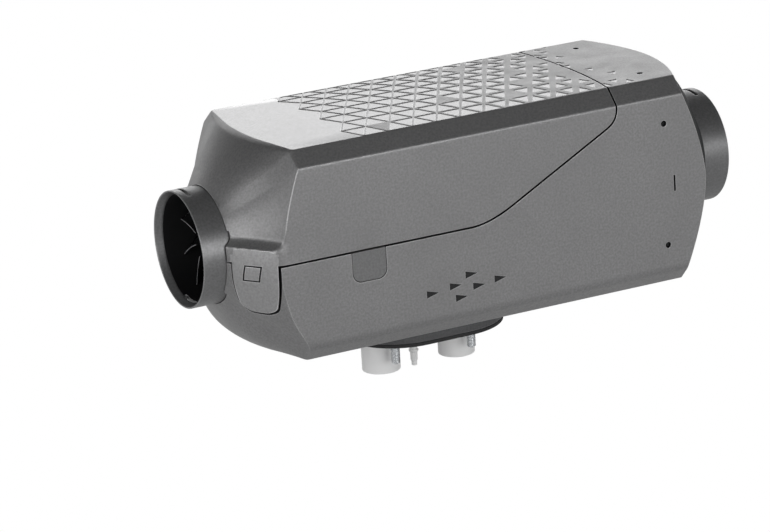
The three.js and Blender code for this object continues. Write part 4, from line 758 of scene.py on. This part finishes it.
SHALLOW = 0.15  # depth of the marks moulded into the walls
PIT_DEPTH = 0.3
PIT_PITCH = 16.7
PIT_LEFT = -98.2
PIT_RIGHT = 132.0
PIT_FADE_LENGTH = 205.0
PIT_WHOLE = -85.0  # no pit is left out before it
PIT_THINS = (40.0, 80.0)
PIT_ENDS = (100.0, 114.0)
PIT_MISSING = (0.04, 0.14, 0.82)  # shares left out from PIT_WHOLE on, over PIT_THINS and over PIT_ENDS
PIT_EDGE = 0.8
PIT_SMALL = 5.6
PIT_RIB = 0.6
PIT_SEED = 11
ROW_FIRST = -58.7
ROW_PITCH = 15.0
ROW_COUNT = 9
SWELL = 2.87  # of the lattice's rows, which bulge to the far side and towards the outlet
SWELL_LEAN = (1.56, 3.03)

MARK_PLACE = (-53.0, -7.2)
MARK_SIZE = (10.4, 10.6)
MARK_CORNER = 0.2
MARK_LINE = 0.9
MARK_LEAN = -0.25
FLOW_TAILS = ((-58.5, -39.1), (-42.1, -37.1), (-30.6, -31.6), (-38.3, -45.4), (-25.6, -40.0), (-10.2, -38.2))
FLOW_LENGTH = 8.6
FLOW_TAIL = 4.8

PEG_X = HALF_LENGTH - 48.8
PEG_Z = 40.5
PEG_Y = 41.0
PEG_HOLE = 2.0
PEG_RADIUS = 1.2
PEG_SINK = 1.0
TONGUE_X = HALF_LENGTH - 42.3
TONGUE_HEIGHT = 10.6
TONGUE_THICKNESS = 1.0
LIP_THICKNESS = 1.2
LIP_HEIGHT = 3.0
LIP_START = 20.4

PLUG_X = -96.9
PLUG_WIDTH = 23.2
PLUG_HEIGHT = 20.7
PLUG_CORNER = 6.0
PLUG_GAP = 0.35
PLUG_FLANGE = 1.8
PLUG_FLANGE_THICKNESS = 1.4
CABLE_HOLE = 5.5
CABLE_COLLAR = 8.5
CABLE_COLLAR_LENGTH = 5.0


def row_levels():
    return ROW_FIRST + ROW_PITCH * np.arange(ROW_COUNT)


def swell(points):
    """Moves (x, y) lattice points with the bulge of their rows."""
    points = np.array(points, float)
    bulge = SWELL * np.maximum(0, 1 - (points[:, 1] / (HALF_WIDTH - CHAMFER)) ** 2)
    return points + bulge[:, None] * np.array(SWELL_LEAN)


def row_start(row):
    """Where a row's first lattice point lies; every second row is half a pitch further on."""
    return PIT_LEFT + (PIT_PITCH / 2 if row % 2 == 0 else 0.0)


def pit_share(x):
    """How much of its lattice cell a pit fills: nearly all at the plain end, less towards the outlet."""
    full = 1 - PIT_RIB * math.sqrt(3) / PIT_PITCH
    fade = min(1.0, max(0.0, (x - PIT_LEFT) / PIT_FADE_LENGTH)) ** 2
    return full + (PIT_SMALL / PIT_PITCH - full) * fade


def lattice_cells():
    """The triangles between the rows of lattice points, as three (x, y) points each."""
    levels = row_levels()
    cells = []
    for row in range(ROW_COUNT - 1):
        low, high = row_start(row), row_start(row + 1)
        near, far = levels[row], levels[row + 1]
        for i in range(int((PIT_RIGHT - PIT_LEFT) / PIT_PITCH)):
            x, over = low + i * PIT_PITCH, high + i * PIT_PITCH
            ahead = PIT_PITCH if over > x else 0.0
            cells.append([(x, near), (x + PIT_PITCH, near), (over + PIT_PITCH - ahead, far)])
            cells.append([(over, far), (over + PIT_PITCH, far), (x + ahead, near)])
    return [swell(cell) for cell in cells]


def kept_cells():
    """The lattice cells that carry a pit: gaps grow more common towards the outlet."""
    chance = np.random.default_rng(PIT_SEED)
    kept = []
    for cell in lattice_cells():
        x, y = cell.mean(0)
        odds = (x > PIT_WHOLE, smoothstep(x, *PIT_THINS), smoothstep(x, *PIT_ENDS))
        missing = sum(share * odd for share, odd in zip(PIT_MISSING, odds))
        near_peg = min(math.hypot(x - PEG_X, y - side * PEG_Y) for side in (-1, 1)) < 2 * PIT_SMALL
        if chance.random() > missing and not near_peg:
            kept.append(cell)
    return kept


def pit_cutter():
    """Triangular pits with sloping walls, sunk into the top face."""
    points, faces = [], []
    for cell in kept_cells():
        middle = cell.mean(0)
        rim = (cell - middle) * pit_share(middle[0])
        inner = np.linalg.norm(rim, axis=1).min() / 2
        base = len(points)
        for level in (-PIT_DEPTH, PIT_DEPTH / 2):
            for corner in rim * (inner + level) / inner + middle:
                points.append((*corner, HALF_HEIGHT + level))
        faces.append((base, base + 1, base + 2))
        faces.append((base + 3, base + 4, base + 5))
        for k in range(3):
            after = (k + 1) % 3
            faces.append((base + k, base + after, base + 3 + after, base + 3 + k))
    reach = HALF_WIDTH - CHAMFER - PIT_EDGE
    top_face = block("top_face", (-FAR, -reach, 0), (FAR, reach, FAR))
    return common(mesh_object("pits", points, faces), top_face)


def plain_cutter():
    """Lowers the plain end of the top face to the pits' floors, up to the lattice's zigzag edge."""
    zigzag = swell([(row_start(row) - PIT_RIB, level) for row, level in enumerate(row_levels())]).tolist()
    beyond = 3 * CHAMFER - ROW_FIRST
    near, far = [(-FAR, -beyond), (zigzag[0][0], -beyond)], [(zigzag[-1][0], beyond), (-FAR, beyond)]
    return prism("plain", near + zigzag + far, 2, HALF_HEIGHT - PIT_DEPTH, HALF_HEIGHT + WALL)


def flow_triangles():
    """The flat triangles that point with the air, sunk into the near wall."""
    cutters = []
    for x, z in FLOW_TAILS:
        outline = [(x, z - FLOW_TAIL / 2), (x + FLOW_LENGTH, z), (x, z + FLOW_TAIL / 2)]
        cutters.append(use_slots(prism("flow", outline, 1, -HALF_WIDTH - WALL, -HALF_WIDTH + SHALLOW), MARK_AND_PAINTED_SHADE))
    return cutters


def tab_mark():
    """The square outline sunk into the near tab."""
    y, z = MARK_PLACE

    def leaning(name, drawn, far):
        width, height = MARK_SIZE[0] - 2 * drawn, MARK_SIZE[1] - 2 * drawn
        outline = np.array(rounded_rectangle(y, z, width, height, MARK_CORNER))
        outline[:, 0] += (outline[:, 1] - z) * MARK_LEAN
        return prism(name, outline, 0, -FAR, far)

    outer = leaning("mark_and_painted_shade", 0.0, -HALF_LENGTH / 2)
    floor = casing_body("mark_floor", TAB_DOME, 2 * SHALLOW, edge_round=tab_edge)
    return use_slots(cut(outer, leaning("mark_inner", MARK_LINE, 0.0), floor), MARK_AND_PAINTED_SHADE)


def on_pit_floor(middles, normals):
    return (np.abs(middles[:, 2] - HALF_HEIGHT + PIT_DEPTH) < TOLERANCE) & (normals[:, 2] > 0.9)


def plug_outline(grow):
    """A side plug's outline, standing on its rounded lower corners."""
    top = SEAM_HEIGHT + PLUG_CORNER * 2
    bottom = SEAM_HEIGHT - PLUG_HEIGHT - grow
    return rounded_rectangle(PLUG_X, (top + bottom) / 2, PLUG_WIDTH + 2 * grow, top - bottom, PLUG_CORNER)


def rod(name, axis, low, high, radius, centre, segments=32):
    return turned(name, [(low, 0), (low, radius), (high, radius), (high, 0)], axis, segments, centre)


def seam_lip():
    """A lip behind the seam, rooted on the lower shell's wall."""
    drawn = WALL + SEAT_GAP
    inside = casing_body("lip_inside", SHELL_DOME, drawn + LIP_THICKNESS, 3 * WALL)
    barrel = block("barrel", (LIP_START - HALF_LENGTH, -FAR, -FAR), (HALF_LENGTH, FAR, FAR))
    reach = common(cover_region(LIP_HEIGHT + SEAM_GAP), barrel)
    standing = common(cut(casing_room("lip", SHELL_DOME, drawn), copy_of(inside)), copy_of(reach))
    standing = cut(standing, cover_region(-LIP_HEIGHT))
    rooted = cut(casing_room("lip_root", SHELL_DOME, WALL - SEAT_GAP), inside)
    # the lip is near black all over: painted shade behind the seam
    return use_slots(join(standing, cut(common(rooted, reach), cover_region(SEAM_GAP))), MARK_AND_PAINTED_SHADE)


def pegs_and_tongues(inner, outer, radius, thickness, height):
    """What holds the hood, or the holes for it, from a depth below the walls' faces to another."""
    made = []
    for side in (-1, 1):
        low, high = on_side(side, HALF_WIDTH - inner, HALF_WIDTH - outer)
        made += [rod("peg", "Y", low, high, radius, (PEG_X, z)) for z in (-PEG_Z, PEG_Z)]
        near, far = TONGUE_X - thickness / 2, TONGUE_X + thickness / 2
        made.append(block("tongue", (near, low, -height / 2), (far, high, height / 2)))
        low, high = on_side(side, HALF_HEIGHT - inner, HALF_HEIGHT - outer)
        made += [rod("peg", "Z", low, high, radius, (PEG_X, y)) for y in (-PEG_Y, PEG_Y)]
    return made


def casing_holes():
    """The openings for the foot's neck, the side plugs, and the hood's pegs and tongues."""
    behind = HALF_WIDTH - WALL - SEAT_GAP
    low, high = -HALF_HEIGHT - WALL, 3 * WALL - HALF_HEIGHT
    tools = [
        prism("foot_hole", foot_outline(NECK_GAP - NECK_INSET), 2, low, high),
        prism("plug_hole", plug_outline(PLUG_GAP), 1, -FAR, FAR),
        prism("flange_hole", plug_outline(PLUG_FLANGE + PLUG_GAP), 1, -behind, behind),
    ]
    tools += pegs_and_tongues(2 * WALL, -WALL, PEG_HOLE, TONGUE_THICKNESS + PLUG_GAP, TONGUE_HEIGHT)
    # the hole walls take the near-black slot: painted shade in the holes
    return [use_slots(tool, MARK_AND_PAINTED_SHADE) for tool in tools]


def make_casing():
    """The upper cover with its latch tabs, and the lower shell with the lip behind the seam."""
    upper = casing_body("upper_cover_skin", COVER_DOME, edge_round=cover_edge, flare=cover_flare)
    upper = cut(upper, casing_room("room", COVER_DOME, WALL), spigot_room(INLET))
    upper = common(upper, cover_region(0))
    lower = casing_body("lower_shell_skin", SHELL_DOME, edge_round=shell_edge, flare=shell_flare)
    lower = cut(lower, casing_room("room", SHELL_DOME, WALL), spigot_room(INLET), cover_region(SEAM_GAP))
    lower = join(lower, seam_lip())
    for side in (-1, 1):
        upper = cut(join(upper, latch_tab(side)), notch(side))
        lower = cut(lower, tab_region(side, TAB_GAP, TAB["clear"] - TAB_GAP))
    upper = cut(upper, spigot_room(INLET), pit_cutter(), plain_cutter(), tab_mark())
    lower = cut(lower, spigot_room(INLET), pit_cutter(), *casing_holes(), *flow_triangles())
    for body, node, moves in ((upper, "upper_cover", "cover"), (lower, "lower_shell", "heater")):
        paint_with(body, *CASING_SLOTS)
        # the pit floors take the smoother copy with its painted sheen
        paint_faces(body, SMOOTH_PAINTED_SHEEN, on_pit_floor)
        if body is upper:
            # the tabs' faces take the lighter copy: a painted highlight
            paint_faces(body, TAB_PAINTED_HIGHLIGHT, on_tab, keep=MARK_AND_PAINTED_SHADE)
        finish_mesh(body)
        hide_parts(node)
        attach(body, moves)


HOOD_WALL = 2.2
HOOD_RECESS = 1.6
HOOD_EDGE = 1.0
HOOD_START = HALF_LENGTH - 60.4


def hood_skin(draw):
    """The hood's outside, or its hollow when drawn in."""
    rings = dome_rings(OUTLET, TAB_DOME, WALL + SEAT_GAP, draw, lambda y, z: np.full(len(y), HOOD_EDGE))
    rings = [ring - (HOOD_RECESS, 0, 0) for ring in rings]
    start = rings[0].copy()
    start[:, 0] = HOOD_START - 2 * draw
    return loft("outlet_hood_skin", [start] + rings)


def make_hood():
    """The dome inside the casing's outlet end, with the pegs and tongues that hold it."""
    hood = cut(hood_skin(0.0), hood_skin(HOOD_WALL), spigot_room(OUTLET))
    root = WALL + SEAT_GAP + HOOD_WALL / 2
    height = TONGUE_HEIGHT - 2 * PLUG_GAP
    join(hood, *pegs_and_tongues(root, PEG_SINK, PEG_RADIUS, TONGUE_THICKNESS, height))
    paint_with(hood, "hood")
    finish_mesh(hood)
    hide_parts("outlet_hood")
    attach(hood, "heater")


SPIGOT_FLAT = 0.85  # of its flange, past the neck
SPIGOT_BEVEL = 2.2
SPIGOT_BEVEL_LENGTH = 4.5
FLANGE_THICKNESS = 2.5
SLOT_SETBACK = 6.0
SLOT_WIDTH = 2.6
SLOT_LENGTH = 19.4
OUTLET_SPIGOT_DEPTH = 12.0  # behind the casing's opening


def in_bore(middles, normals):
    return np.hypot(middles[:, 1], middles[:, 2]) < SPIGOT_BORE + TOLERANCE


def make_spigot(node, end, inner_end):
    """A duct spigot with a bevelled mouth, slots near its rim and a seat flange, flat at the sides."""
    rim, seat = end["rim"], end["base"] - FLANGE_DEPTH
    back = seat - FLANGE_THICKNESS
    profile = [
        (rim, SPIGOT_BORE + SPIGOT_BEVEL), (rim, DUCT_RADIUS), (seat, DUCT_RADIUS),
        (seat, DUCT_RADIUS + FLANGE_REACH), (back, DUCT_RADIUS + FLANGE_REACH), (back, DUCT_RADIUS),
        (inner_end, DUCT_RADIUS), (inner_end, SPIGOT_BORE), (rim - SPIGOT_BEVEL_LENGTH, SPIGOT_BORE),
    ]
    soft = rounded(profile, [0.3, 0.5, 0.4, 0.4, 0.4, 0.3, 0.4, 0.4, 1.0])
    spigot = turned(f"{node}_skin", [(end["sign"] * x, r) for x, r in soft], segments=144)
    middle = end["sign"] * (rim - SLOT_SETBACK)
    flat = DUCT_RADIUS + SPIGOT_FLAT
    for side in (-1, 1):
        low, high = on_side(side, SPIGOT_BORE / 2, 2 * DUCT_RADIUS)
        outline = rounded_rectangle(middle, 0, SLOT_WIDTH, SLOT_LENGTH, SLOT_WIDTH / 2.1)
        cut(spigot, prism("slot", outline, 2, low, high))
        near, far = on_side(side, flat, FAR)
        cut(spigot, block("flat", (-FAR, near, -FAR), (FAR, far, FAR)))
    paint_with(use_slots(spigot, 0), "spigot", "mark_and_painted_shade")
    # the bore is painted near black: painted shade inside the spigot
    paint_faces(spigot, 1, in_bore)
    finish_mesh(spigot)
    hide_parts(node)
    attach(spigot, "heater")


def plug_body(name, side):
    """A side plug that holds the wall in a groove."""
    inner = HALF_WIDTH - WALL - 2 * SEAT_GAP
    back = inner - PLUG_FLANGE_THICKNESS
    stem = prism(name, plug_outline(0), 1, *on_side(side, back, HALF_WIDTH))
    flange = prism("flange", plug_outline(PLUG_FLANGE), 1, *on_side(side, back, inner))
    return cut(join(stem, flange), cover_region(SEAM_GAP))


def make_plugs():
    """The near side's blanking plug, and the far side's grommet with its collar and cable hole."""
    plug = plug_body("blanking_plug_skin", -1)
    grommet = plug_body("cable_grommet_skin", 1)
    z = SEAM_HEIGHT - PLUG_HEIGHT / 2
    low = HALF_WIDTH - WALL - CABLE_COLLAR_LENGTH
    join(grommet, rod("collar", "Y", low, HALF_WIDTH, CABLE_COLLAR, (PLUG_X, z), 48))
    cut(grommet, rod("hole", "Y", 0, FAR, CABLE_HOLE, (PLUG_X, z), 48))
    for body, node in ((plug, "blanking_plug"), (grommet, "cable_grommet")):
        paint_with(body, "rubber")
        finish_mesh(body)
        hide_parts(node)
        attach(body, "heater")


# -------- foot

FOOT_LENGTH = 108.0
FOOT_WIDTH = 92.0
FOOT_CORNER = 38.0
FOOT_FACE = -AXIS[2]
FOOT_X = -AXIS[0]
NECK_INSET = 7.0
NECK_GAP = 1.0
SEAL_THICKNESS = 2.2

STUB_SPACING = 55.0
AIR_STUB_X = FOOT_X - STUB_SPACING / 2
EXHAUST_STUB_X = FOOT_X + STUB_SPACING / 2
AIR_STUB_RADIUS = 12.5
EXHAUST_STUB_RADIUS = 12.0
STUB_END = 38.3
STUB_WALL = 1.5
STUB_TOP = 9.5
STUB_GAP = 0.3

STUD_Y = 21.5
STUD_PLACES = [(x, y) for x in (AIR_STUB_X, EXHAUST_STUB_X) for y in (-STUD_Y, STUD_Y)]
STUD_END = 29.0
STUD_TOP = 9.5
STUD_RADIUS = 3.0
STUD_CHAMFER = 1.0
STUD_PITCH = 1.0
THREAD_DEPTH = 0.6  # in pitches
THREAD_ROOT = 1.15  # over 1, so that the groove has a flat root
THREAD_FLANK = 2.6
THREAD_RINGS = 10  # in a pitch

FUEL_PIPE_PLACE = (FOOT_X - 6.6, -6.0)
FUEL_PIPE_RADIUS = 2.35
FUEL_PIPE_BORE = 0.8
FUEL_PIPE_END = 38.5
FUEL_TIP_RADIUS = 1.8
FUEL_TIP_LENGTH = 3.0
FUEL_TAPER = 0.6
FUEL_BEAD = 0.8
FUEL_BEAD_START = 9.0
FUEL_BEAD_LENGTH = 2.0


def foot_outline(grow):
    length, width = FOOT_LENGTH + 2 * grow, FOOT_WIDTH + 2 * grow
    return rounded_rectangle(FOOT_X, 0, length, width, FOOT_CORNER + grow, 16)


def threaded_rod(name, low, high, radius, centre):
    """A rod with a screw thread along it and chamfered ends."""
    around = 40
    levels = np.linspace(low, high, int((high - low) / STUD_PITCH * THREAD_RINGS) + 1)
    angles = np.arange(around) * 2 * math.pi / around
    rings = []
    for z in levels:
        phase = (z / STUD_PITCH - angles / (2 * math.pi)) % 1.0
        depth = THREAD_DEPTH * STUD_PITCH * np.clip(THREAD_ROOT - THREAD_FLANK * np.abs(phase - 0.5), 0, 1)
        ends = np.clip((radius - STUD_CHAMFER) + (min(z - low, high - z)), 0.0, radius)
        r = np.minimum(radius - depth, ends)
        x, y = centre[0] + r * np.cos(angles), centre[1] + r * np.sin(angles)
        rings.append(np.stack([x, y, np.full(around, z)], 1))
    return loft(name, rings)


def make_stub(node, x, radius):
    """A drawn tube under the foot, with an eased mouth."""
    low, high = -HALF_HEIGHT - STUB_END, FOOT_FACE + STUB_TOP
    bore = radius - STUB_WALL
    profile = [(low, bore), (low, radius), (high, radius), (high, bore)]
    body = turned(f"{node}_skin", rounded(profile, [0.4, 0.6, 0.2, 0.2]), "Z", 96, (x, 0))
    paint_with(body, "tube")
    finish_mesh(body)
    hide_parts(node)
    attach(body, "heater")


def make_studs():
    """The four threaded studs that hold the foot, two beside each stub."""
    low, high = -HALF_HEIGHT - STUD_END, FOOT_FACE + STUD_TOP
    for number, place in enumerate(STUD_PLACES, 1):
        stud = threaded_rod(f"mounting_stud_{number}_thread", low, high, STUD_RADIUS, place)
        paint_with(stud, "zinc")
        finish_mesh(stud, 50)
        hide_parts(f"mounting_stud_{number}")
        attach(stud, "heater")


def make_seal():
    """The sheet on the foot's face, with clear holes for the stubs, studs and fuel pipe."""
    seal = prism("foot_seal_sheet", foot_outline(0), 2, FOOT_FACE, FOOT_FACE + SEAL_THICKNESS)
    low, high = FOOT_FACE - WALL, FOOT_FACE + 2 * WALL
    holes = [((AIR_STUB_X, 0), AIR_STUB_RADIUS), ((EXHAUST_STUB_X, 0), EXHAUST_STUB_RADIUS),
             (FUEL_PIPE_PLACE, FUEL_PIPE_RADIUS), *((place, STUD_RADIUS) for place in STUD_PLACES)]
    for place, radius in holes:
        cut(seal, rod("hole", "Z", low, high, radius + STUB_GAP, place, 64))
    paint_with(seal, "seal")
    finish_mesh(seal)
    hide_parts("foot_seal")
    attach(seal, "heater")


def make_fuel_pipe():
    """A thin pipe with a stepped tip and a bead that holds the hose."""
    end, top = -HALF_HEIGHT - FUEL_PIPE_END, box_mm("fuel_pipe")[1][2] - AXIS[2]
    tip, bead = end + FUEL_TIP_LENGTH, end + FUEL_BEAD_START
    bead_end, bead_radius = bead + FUEL_BEAD_LENGTH, FUEL_PIPE_RADIUS + FUEL_BEAD
    profile = [
        (end, FUEL_PIPE_BORE), (end, FUEL_TIP_RADIUS), (tip, FUEL_TIP_RADIUS),
        (tip + FUEL_TAPER, FUEL_PIPE_RADIUS), (bead, FUEL_PIPE_RADIUS), (bead + FUEL_TAPER, bead_radius),
        (bead_end, bead_radius), (bead_end + FUEL_TAPER, FUEL_PIPE_RADIUS), (top, FUEL_PIPE_RADIUS),
        (top, FUEL_PIPE_BORE),
    ]
    pipe = turned("fuel_pipe_skin", rounded(profile, 0.4), "Z", 40, FUEL_PIPE_PLACE)
    paint_with(pipe, "tube")
    finish_mesh(pipe)
    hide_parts("fuel_pipe")
    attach(pipe, "heater")


# -------- impeller

FAN_FRONT = box_mm("hot_air_impeller")[0][0] - AXIS[0]
FAN_DEPTH = 30.0
FAN_BACK = FAN_FRONT + FAN_DEPTH
FAN_NOSE = FAN_FRONT + 4.0
FAN_HOLLOW = FAN_FRONT + 14.0
FAN_BLADES = 9
FAN_HUB = 12.5
FAN_HUB_WALL = 2.0
FAN_BORE_SETBACK = 3.0
FAN_SLEEVE_WALL = 2.5
FAN_TIP = 33.3
FAN_WRAP = math.radians(52)
FAN_SWEEP = math.radians(10)
FAN_LEADING = math.radians(16)
WRAP_POWER = 1.35
BLADE_THICKNESS = 1.5
BLADE_EDGE = 0.35  # of the thickness, at the front and back edges
BLADE_FRONT = 0.3  # depth of the leading edge painted lighter, as a highlight
BLADE_ROOT = 1.0
BLADE_SHORT = 2.0  # of the wheel's depth
BLADE_TIP_SHORT = 0.12
SHAFT_RADIUS = 3.0


def fan_blade(index):
    """One twisted blade from the hub out, running back along a helix."""
    t = np.linspace(0, 1, 25)
    belly = BLADE_THICKNESS * (BLADE_EDGE + np.sin(math.pi * t) * (1 - BLADE_EDGE))
    helix = FAN_LEADING + index * 2 * math.pi / FAN_BLADES + FAN_WRAP * t ** WRAP_POWER
    rings = []
    for share in np.linspace(0, 1, 9):
        radius = FAN_HUB - BLADE_ROOT + (FAN_TIP - FAN_HUB + BLADE_ROOT) * share
        course = helix + FAN_SWEEP * (1 - share)
        x = FAN_FRONT + (FAN_DEPTH - BLADE_SHORT) * (1 - BLADE_TIP_SHORT * share) * t
        faces = []
        for face, order in ((1, slice(None)), (-1, slice(None, None, -1))):
            angle = course + face * belly / 2 / radius
            side = np.stack([x, radius * np.cos(angle), radius * np.sin(angle)], 1)
            faces.append(side[order])
        rings.append(np.vstack(faces))
    return loft("blade", rings)


def on_leading_edge(middles, normals):
    in_front = middles[:, 0] < FAN_FRONT + BLADE_FRONT
    return in_front & (np.hypot(middles[:, 1], middles[:, 2]) > FAN_HUB)


def make_impeller():
    """The hot-air wheel: a domed, hollow hub with a bore for the shaft, and its blades."""
    nose = [(0, 0), (0, 0.3), (1, 0.6), (4, 0.92), (8, 1)]  # millimetres back, and shares of the hub's radius
    hub = [(FAN_NOSE + back, FAN_HUB * share) for back, share in nose] + [(FAN_BACK, FAN_HUB), (FAN_BACK, 0)]
    wheel = turned("hot_air_impeller_wheel", rounded(hub, 2.0, closed=False), segments=72)
    for index in range(FAN_BLADES):
        join(wheel, fan_blade(index))
    past, sleeve, wall = FAN_BACK + 1, SHAFT_RADIUS + FAN_SLEEVE_WALL, FAN_HUB - FAN_HUB_WALL
    hollow = [(FAN_HOLLOW, sleeve), (FAN_HOLLOW, wall), (past, wall), (past, sleeve)]
    cut(wheel, turned("hollow", hollow, segments=48))
    cut(wheel, rod("bore", "X", FAN_NOSE + FAN_BORE_SETBACK, past, SHAFT_RADIUS + SEAT_GAP, (0, 0)))
    paint_with(use_slots(wheel, 0), "blade", "blade_edge")
    # the leading edges take the lighter paint: a painted highlight
    paint_faces(wheel, 1, on_leading_edge)
    finish_mesh(wheel, 40)
    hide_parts("hot_air_impeller")
    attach(wheel, "rotor")


# -------- inner pieces

INNER_PAINTS = {
    "zinc": ("motor_can", "glow_plug", *(f"flange_screw_{number}" for number in range(1, 5))),
    "ferrite": ("field_magnet_1", "field_magnet_2"),
    "lamination": ("motor_armature",),
    "copper": ("motor_commutator",),
    "steel": ("motor_shaft", "front_bearing", "rear_bearing", "blower_plate", "overheat_sensor"),
    "cast": ("blower_housing", "combustion_air_wheel", "control_unit_lid"),
    "gasket": ("burner_gasket",),
    "burner": ("combustion_chamber", "flame_tube"),
    "connector": ("control_unit", "glow_plug_connector", "sensor_connector"),
    "sheath": ("glow_plug_lead", "sensor_lead"),
    "exchanger": ("heat_exchanger",),
}


def under_casing(middles, normals):
    return middles[:, 2] < -HALF_HEIGHT - SEAT_GAP / 2


def paint_inner_pieces():
    """The CAD's own meshes, painted. The exchanger's foot, outside the casing, is painted a darker grey of
    its own.
    """
    for name, nodes in INNER_PAINTS.items():
        for node in nodes:
            body = bpy.data.objects[node]
            paint_with(body, name, "foot")
            finish_mesh(body)
    paint_faces(bpy.data.objects["heat_exchanger"], 1, under_casing)


# -------- assembly

make_casing()
make_hood()
make_spigot("inlet_spigot", INLET, -FAN_BACK)
make_spigot("outlet_spigot", OUTLET, OUTLET["base"] - OUTLET_SPIGOT_DEPTH)
make_plugs()
make_stub("combustion_air_stub", AIR_STUB_X, AIR_STUB_RADIUS)
make_stub("exhaust_stub", EXHAUST_STUB_X, EXHAUST_STUB_RADIUS)
make_studs()
make_seal()
make_fuel_pipe()
make_impeller()
paint_inner_pieces()


# -------- camera and light

CAMERA_PLACE = (-1.0701, -2.1340, 0.7887)
CAMERA_TURN = (1.820, -0.484, 0.272)  # the rotation vector from the world to the camera
FOCAL_PIXELS = 3890.68
WIDTH_PIXELS = 770
SHIFT_PIXELS = (2.2, -3.65)  # of the lens's middle, right and down


def make_camera():
    """The camera at the photograph's viewing angle."""
    data = bpy.data.cameras.new("camera")
    data.lens = FOCAL_PIXELS / WIDTH_PIXELS * data.sensor_width
    data.shift_x = -SHIFT_PIXELS[0] / WIDTH_PIXELS
    data.shift_y = SHIFT_PIXELS[1] / WIDTH_PIXELS
    data.clip_end = 50
    turn = Vector(CAMERA_TURN)
    to_camera = Matrix.Rotation(turn.length, 3, turn.normalized())
    flip = Matrix.Diagonal((1, -1, -1))
    camera = bpy.data.objects.new("camera", data)
    camera.matrix_world = Matrix.Translation(CAMERA_PLACE) @ (to_camera.transposed() @ flip).to_4x4()
    bpy.context.scene.collection.objects.link(camera)
    bpy.context.scene.camera = camera


STUDIO_WALL = 1.0
STUDIO_CEILING = 0.09
CEILING_START = 0.12  # sine of the angle above the horizon
CEILING_FULL = 0.34
FLOOR_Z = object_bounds()[0][2]
FLOOR_REACH = 6000
FLOOR_MIRRORED = 0.36  # how much the floor glows where it is seen in a reflection
LAMP_AIM = Vector((0.0, 0.0, 0.08))


def make_world():
    """White walls up to a dark ceiling, and plain white behind the object."""
    world = bpy.data.worlds.new("studio")
    bpy.context.scene.world = world
    world.use_nodes = True
    backdrop = world.node_tree.nodes["Background"]
    backdrop.inputs["Color"].default_value = (1, 1, 1, 1)
    nodes = Nodes(world.node_tree)
    toward = nodes.add("ShaderNodeTexCoord").outputs["Generated"]
    height = nodes.add("ShaderNodeSeparateXYZ", Vector=toward).outputs["Z"]
    room = nodes.ramp(height, CEILING_START, CEILING_FULL, STUDIO_WALL, STUDIO_CEILING, "SMOOTHSTEP")
    direct = nodes.add("ShaderNodeLightPath").outputs["Is Camera Ray"]
    world.node_tree.links.new(nodes.math("MAXIMUM", direct, room), backdrop.inputs["Strength"])


def make_floor():
    """A plain pale floor that is white where it is seen, and keeps the shadow."""
    corners = [(x * FLOOR_REACH, y * FLOOR_REACH, 0) for x, y in ((-1, -1), (1, -1), (1, 1), (-1, 1))]
    floor = mesh_object("floor", corners, [(0, 1, 2, 3)])
    floor.location.z = FLOOR_Z - AXIS[2] * MM
    paint = Paint("pale_floor")
    grain = paint.noise(220.0, 3.0, 0.6)
    base = paint.mix(paint.ramp(grain, 0.4, 0.7, 0.0, 1.0), (0.86, 0.86, 0.86), (0.9, 0.9, 0.9))
    pale = paint.add("ShaderNodeBsdfPrincipled", Base_Color=base, Roughness=0.9)
    glow = paint.add("ShaderNodeEmission", Strength=1.0)
    path = paint.add("ShaderNodeLightPath").outputs
    indirect = paint.math("MAXIMUM", path["Is Glossy Ray"], path["Is Transmission Ray"])
    mirrored = paint.math("MULTIPLY", indirect, FLOOR_MIRRORED)
    share = paint.math("MAXIMUM", path["Is Camera Ray"], mirrored)
    both = paint.add("ShaderNodeMixShader", i0=share, i1=pale.outputs[0], i2=glow.outputs[0])
    paint.add("ShaderNodeOutputMaterial", Surface=both.outputs[0])
    floor.data.materials.append(paint.material)


def soft_lamp(name, bearing, height, distance, size, level):
    """A soft lamp that faces the object. Bearing is in degrees from +Y to +X, and level 1 is white."""
    data = bpy.data.lights.new(name, "AREA")
    data.shape = "RECTANGLE"
    data.size, data.size_y = size
    data.energy = level * math.pi * size[0] * size[1]
    lamp = bpy.data.objects.new(name, data)
    lamp.visible_camera = False
    angle = math.radians(bearing)
    lamp.location = (distance * math.sin(angle), distance * math.cos(angle), height)
    lamp.rotation_euler = (LAMP_AIM - lamp.location).to_track_quat("-Z", "Y").to_euler()
    bpy.context.scene.collection.objects.link(lamp)


def make_lights():
    """Three soft lamps: behind the top, off the inlet's end, and in front of the near side."""
    soft_lamp("back_light", bearing=32, height=0.9, distance=2.6, size=(3.0, 1.4), level=1.35)
    soft_lamp("left_light", bearing=-112, height=0.6, distance=2.4, size=(1.8, 0.9), level=2.4)
    soft_lamp("front_light", bearing=-190, height=0.5, distance=3.2, size=(2.2, 1.4), level=3.1)


make_camera()
make_world()
make_floor()
make_lights()
bpy.context.scene.view_settings.view_transform = "Standard"
